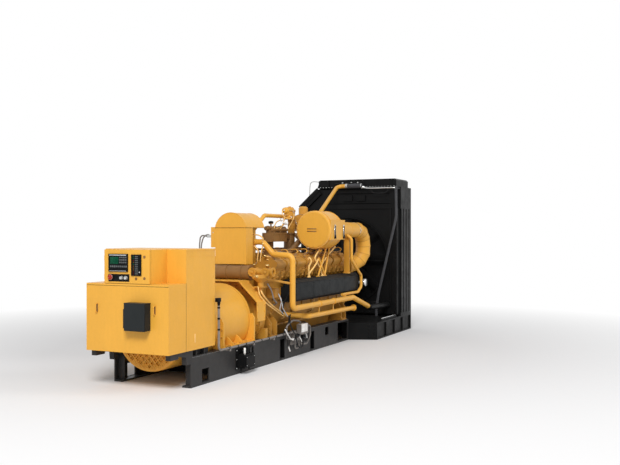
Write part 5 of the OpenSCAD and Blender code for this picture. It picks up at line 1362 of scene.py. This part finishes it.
def front_fittings():
    """Bolts, damper, sight cap and shaft couplings at the engine's front."""
    x, centre = X_BLOCK_END, Vector((X_BLOCK_END + 60, -350, 1290))
    bolts = Shape("front_bolts", CAST)
    bolts.circle(centre, -X, 180, 16, 8)
    bolts.circle(centre + X * 110, X, 184, 16, 7.5)
    for y in (-100, 100):
        bolts.row((x + 260, y, SHAFT_Z + 450), (x + 260, y, FAN_Z + 60), 5, X, 11)
    damper = Shape("damper_rings", DARK, slot=None)
    for r, dx in ((165, 202), (125, 206)):
        damper.ring((x + dx, 0, SHAFT_Z), X, r, 6, 8, 48)
    damper.lathe((x + 200, 0, SHAFT_Z), X, [(0, 45), (20, 45), (24, 30)], 20)
    cap = Shape("sight_cap", BRIGHT)
    cap.lathe((2490, -600, 975), -Y,
              [(-150, 30), (-20, 30), (-16, 75), (30, 80), (46, 66), (50, 28)], 28)
    arm = Shape("sight_cap_arm", BLACK)
    arm.tube([(2490, -470, 975), (2470, -380, 975), (2380, -300, 960), (x + 150, -250, 930),
              (x + 85, -230, 920)], 28, 14)
    shaft = Shape("shaft_couplings", BLACK)
    for x in (x + 330, X_SHROUD - 120):
        shaft.lathe((x, 0, FAN_Z), X, [(0, 46), (4, 74), (30, 74), (34, 46)], 24)
        shaft.circle((x + 31, 0, FAN_Z), X, 60, 8, 6)


def blade_roots():
    """Clamped roots that hold the blades on the fan's hub, with the hub's front cap."""
    centre = Vector((X_SHROUD + 20, 0, FAN_Z))
    roots = Shape("blade_roots", BLACK)
    for i in range(8):
        out = spoke(math.radians(90 + 45 * i))
        roots.lathe(centre + out * 160, out, [(0, 50), (60, 44), (66, 30), (110, 22)], 16)
    roots.circle(centre - X * 60, -X, 130, 8, 10)
    roots.lathe(centre - X * 60, -X, [(0, 85), (14, 80), (20, 52)], 28)


for dress in (
    door_screws, control_face, alarm_lamps, door_fittings, behind_the_door, cabinet_fittings,
    handle_plates, cover_fittings, generator_fittings, grille_screen, guard_fittings,
    engine_fittings, head_fittings, side_box_fittings, air_box_fittings, regulator_fittings,
    plenum_fittings, turbo_fittings, canister_fittings, duct_fittings, pipe_fittings,
    tank_fittings, shroud_fittings, frame_fittings, base_fittings, skid_fittings, unit_fittings,
    harness_fittings, front_fittings, blade_roots,
):
    dress()
for shape in Shape.made:
    shape.piece()


# ---------------------------------------------------------------- camera, floor, light

CAMERA_PLACE = (-11.7455, -6.133, 1.9)
CAMERA_TURN = -65.0
LENS_MM = 47.8
FLOOR_HALF = 60.0
FLOOR_GREY = (0.86, 0.855, 0.86)
FLOOR_FADE = (3.6, 9.6)
AMBIENT = 0.4

cam_data = bpy.data.cameras.new("camera")
cam_data.lens = LENS_MM
cam_data.sensor_width = 36.0
cam_data.clip_end = 200.0
camera = bpy.data.objects.new("camera", cam_data)
camera.location = CAMERA_PLACE
camera.rotation_euler = (math.radians(90), 0, math.radians(CAMERA_TURN))
bpy.context.scene.collection.objects.link(camera)
bpy.context.scene.camera = camera


def ray_test(tree, *names):
    """1 for the kinds of ray that are named and 0 for the others."""
    rays = tree.nodes.new("ShaderNodeLightPath")
    test = rays.outputs[names[0]]
    for name in names[1:]:
        test = combined(tree, "MAXIMUM", test, rays.outputs[name])
    return test


def blended(tree, fac, a, b, output):
    """Mixes two shaders by a factor and wires them to the output."""
    blend = tree.nodes.new("ShaderNodeMixShader")
    for source, socket in zip((fac, a, b), blend.inputs):
        tree.links.new(source, socket)
    tree.links.new(blend.outputs[0], tree.nodes[output].inputs[0])


def floor_material():
    """Pale matt floor that turns into the white background with distance from the set."""
    m, tree, shader = material("studio_floor", roughness=0.95, specular=0.05)
    shader.inputs["Base Color"].default_value = (*FLOOR_GREY, 1.0)
    length = tree.nodes.new("ShaderNodeVectorMath")
    length.operation = "LENGTH"
    tree.links.new(tree.nodes.new("ShaderNodeNewGeometry").outputs["Position"], length.inputs[0])
    far = spread(tree, length.outputs["Value"], 0.0, 1.0, *FLOOR_FADE)
    seen = ray_test(tree, "Is Camera Ray", "Is Glossy Ray")
    white = tree.nodes.new("ShaderNodeEmission")
    white.inputs["Strength"].default_value = 1.0
    fade = combined(tree, "MULTIPLY", far, seen)
    blended(tree, fade, shader.outputs[0], white.outputs[0], "Material Output")
    return m


floor_mesh = bpy.data.meshes.new("floor")
corners = [(x * FLOOR_HALF, y * FLOOR_HALF, 0) for x, y in ((-1, -1), (1, -1), (1, 1), (-1, 1))]
floor_mesh.from_pydata(corners, [], [(0, 1, 2, 3)])
floor_mesh.materials.append(floor_material())
floor = bpy.data.objects.new("floor", floor_mesh)
bpy.context.scene.collection.objects.link(floor)


def world_light():
    """White behind everything that is seen or mirrored, and a plain level of light on the set."""
    world = bpy.data.worlds.new("studio")
    bpy.context.scene.world = world
    world.use_nodes = True
    tree = world.node_tree
    back, seen_back = tree.nodes["Background"], tree.nodes.new("ShaderNodeBackground")
    for node, strength in ((back, AMBIENT), (seen_back, 1.0)):
        node.inputs[0].default_value = (1.0, 1.0, 1.0, 1.0)
        node.inputs[1].default_value = strength
    seen = ray_test(tree, "Is Camera Ray", "Is Glossy Ray", "Is Transmission Ray")
    blended(tree, seen, back.outputs[0], seen_back.outputs[0], "World Output")


def area_lamp(name, place, aim, size, power):
    """Round soft lamp that looks at a point."""
    data = bpy.data.lights.new(name, "AREA")
    data.shape = "DISK"
    data.size = size
    data.energy = power
    lamp = bpy.data.objects.new(name, data)
    lamp.location = place
    lamp.rotation_euler = (Vector(aim) - Vector(place)).to_track_quat("-Z", "Y").to_euler()
    bpy.context.scene.collection.objects.link(lamp)


world_light()
area_lamp("front", (-17.0, -7.0, 14.0), (-1.0, 0, 0.8), 7.0, 3150)
area_lamp("side", (4.0, -20.0, 13.0), (0.5, 0, 1.0), 8.0, 1000)

scene = bpy.context.scene
scene.view_settings.view_transform = "Standard"
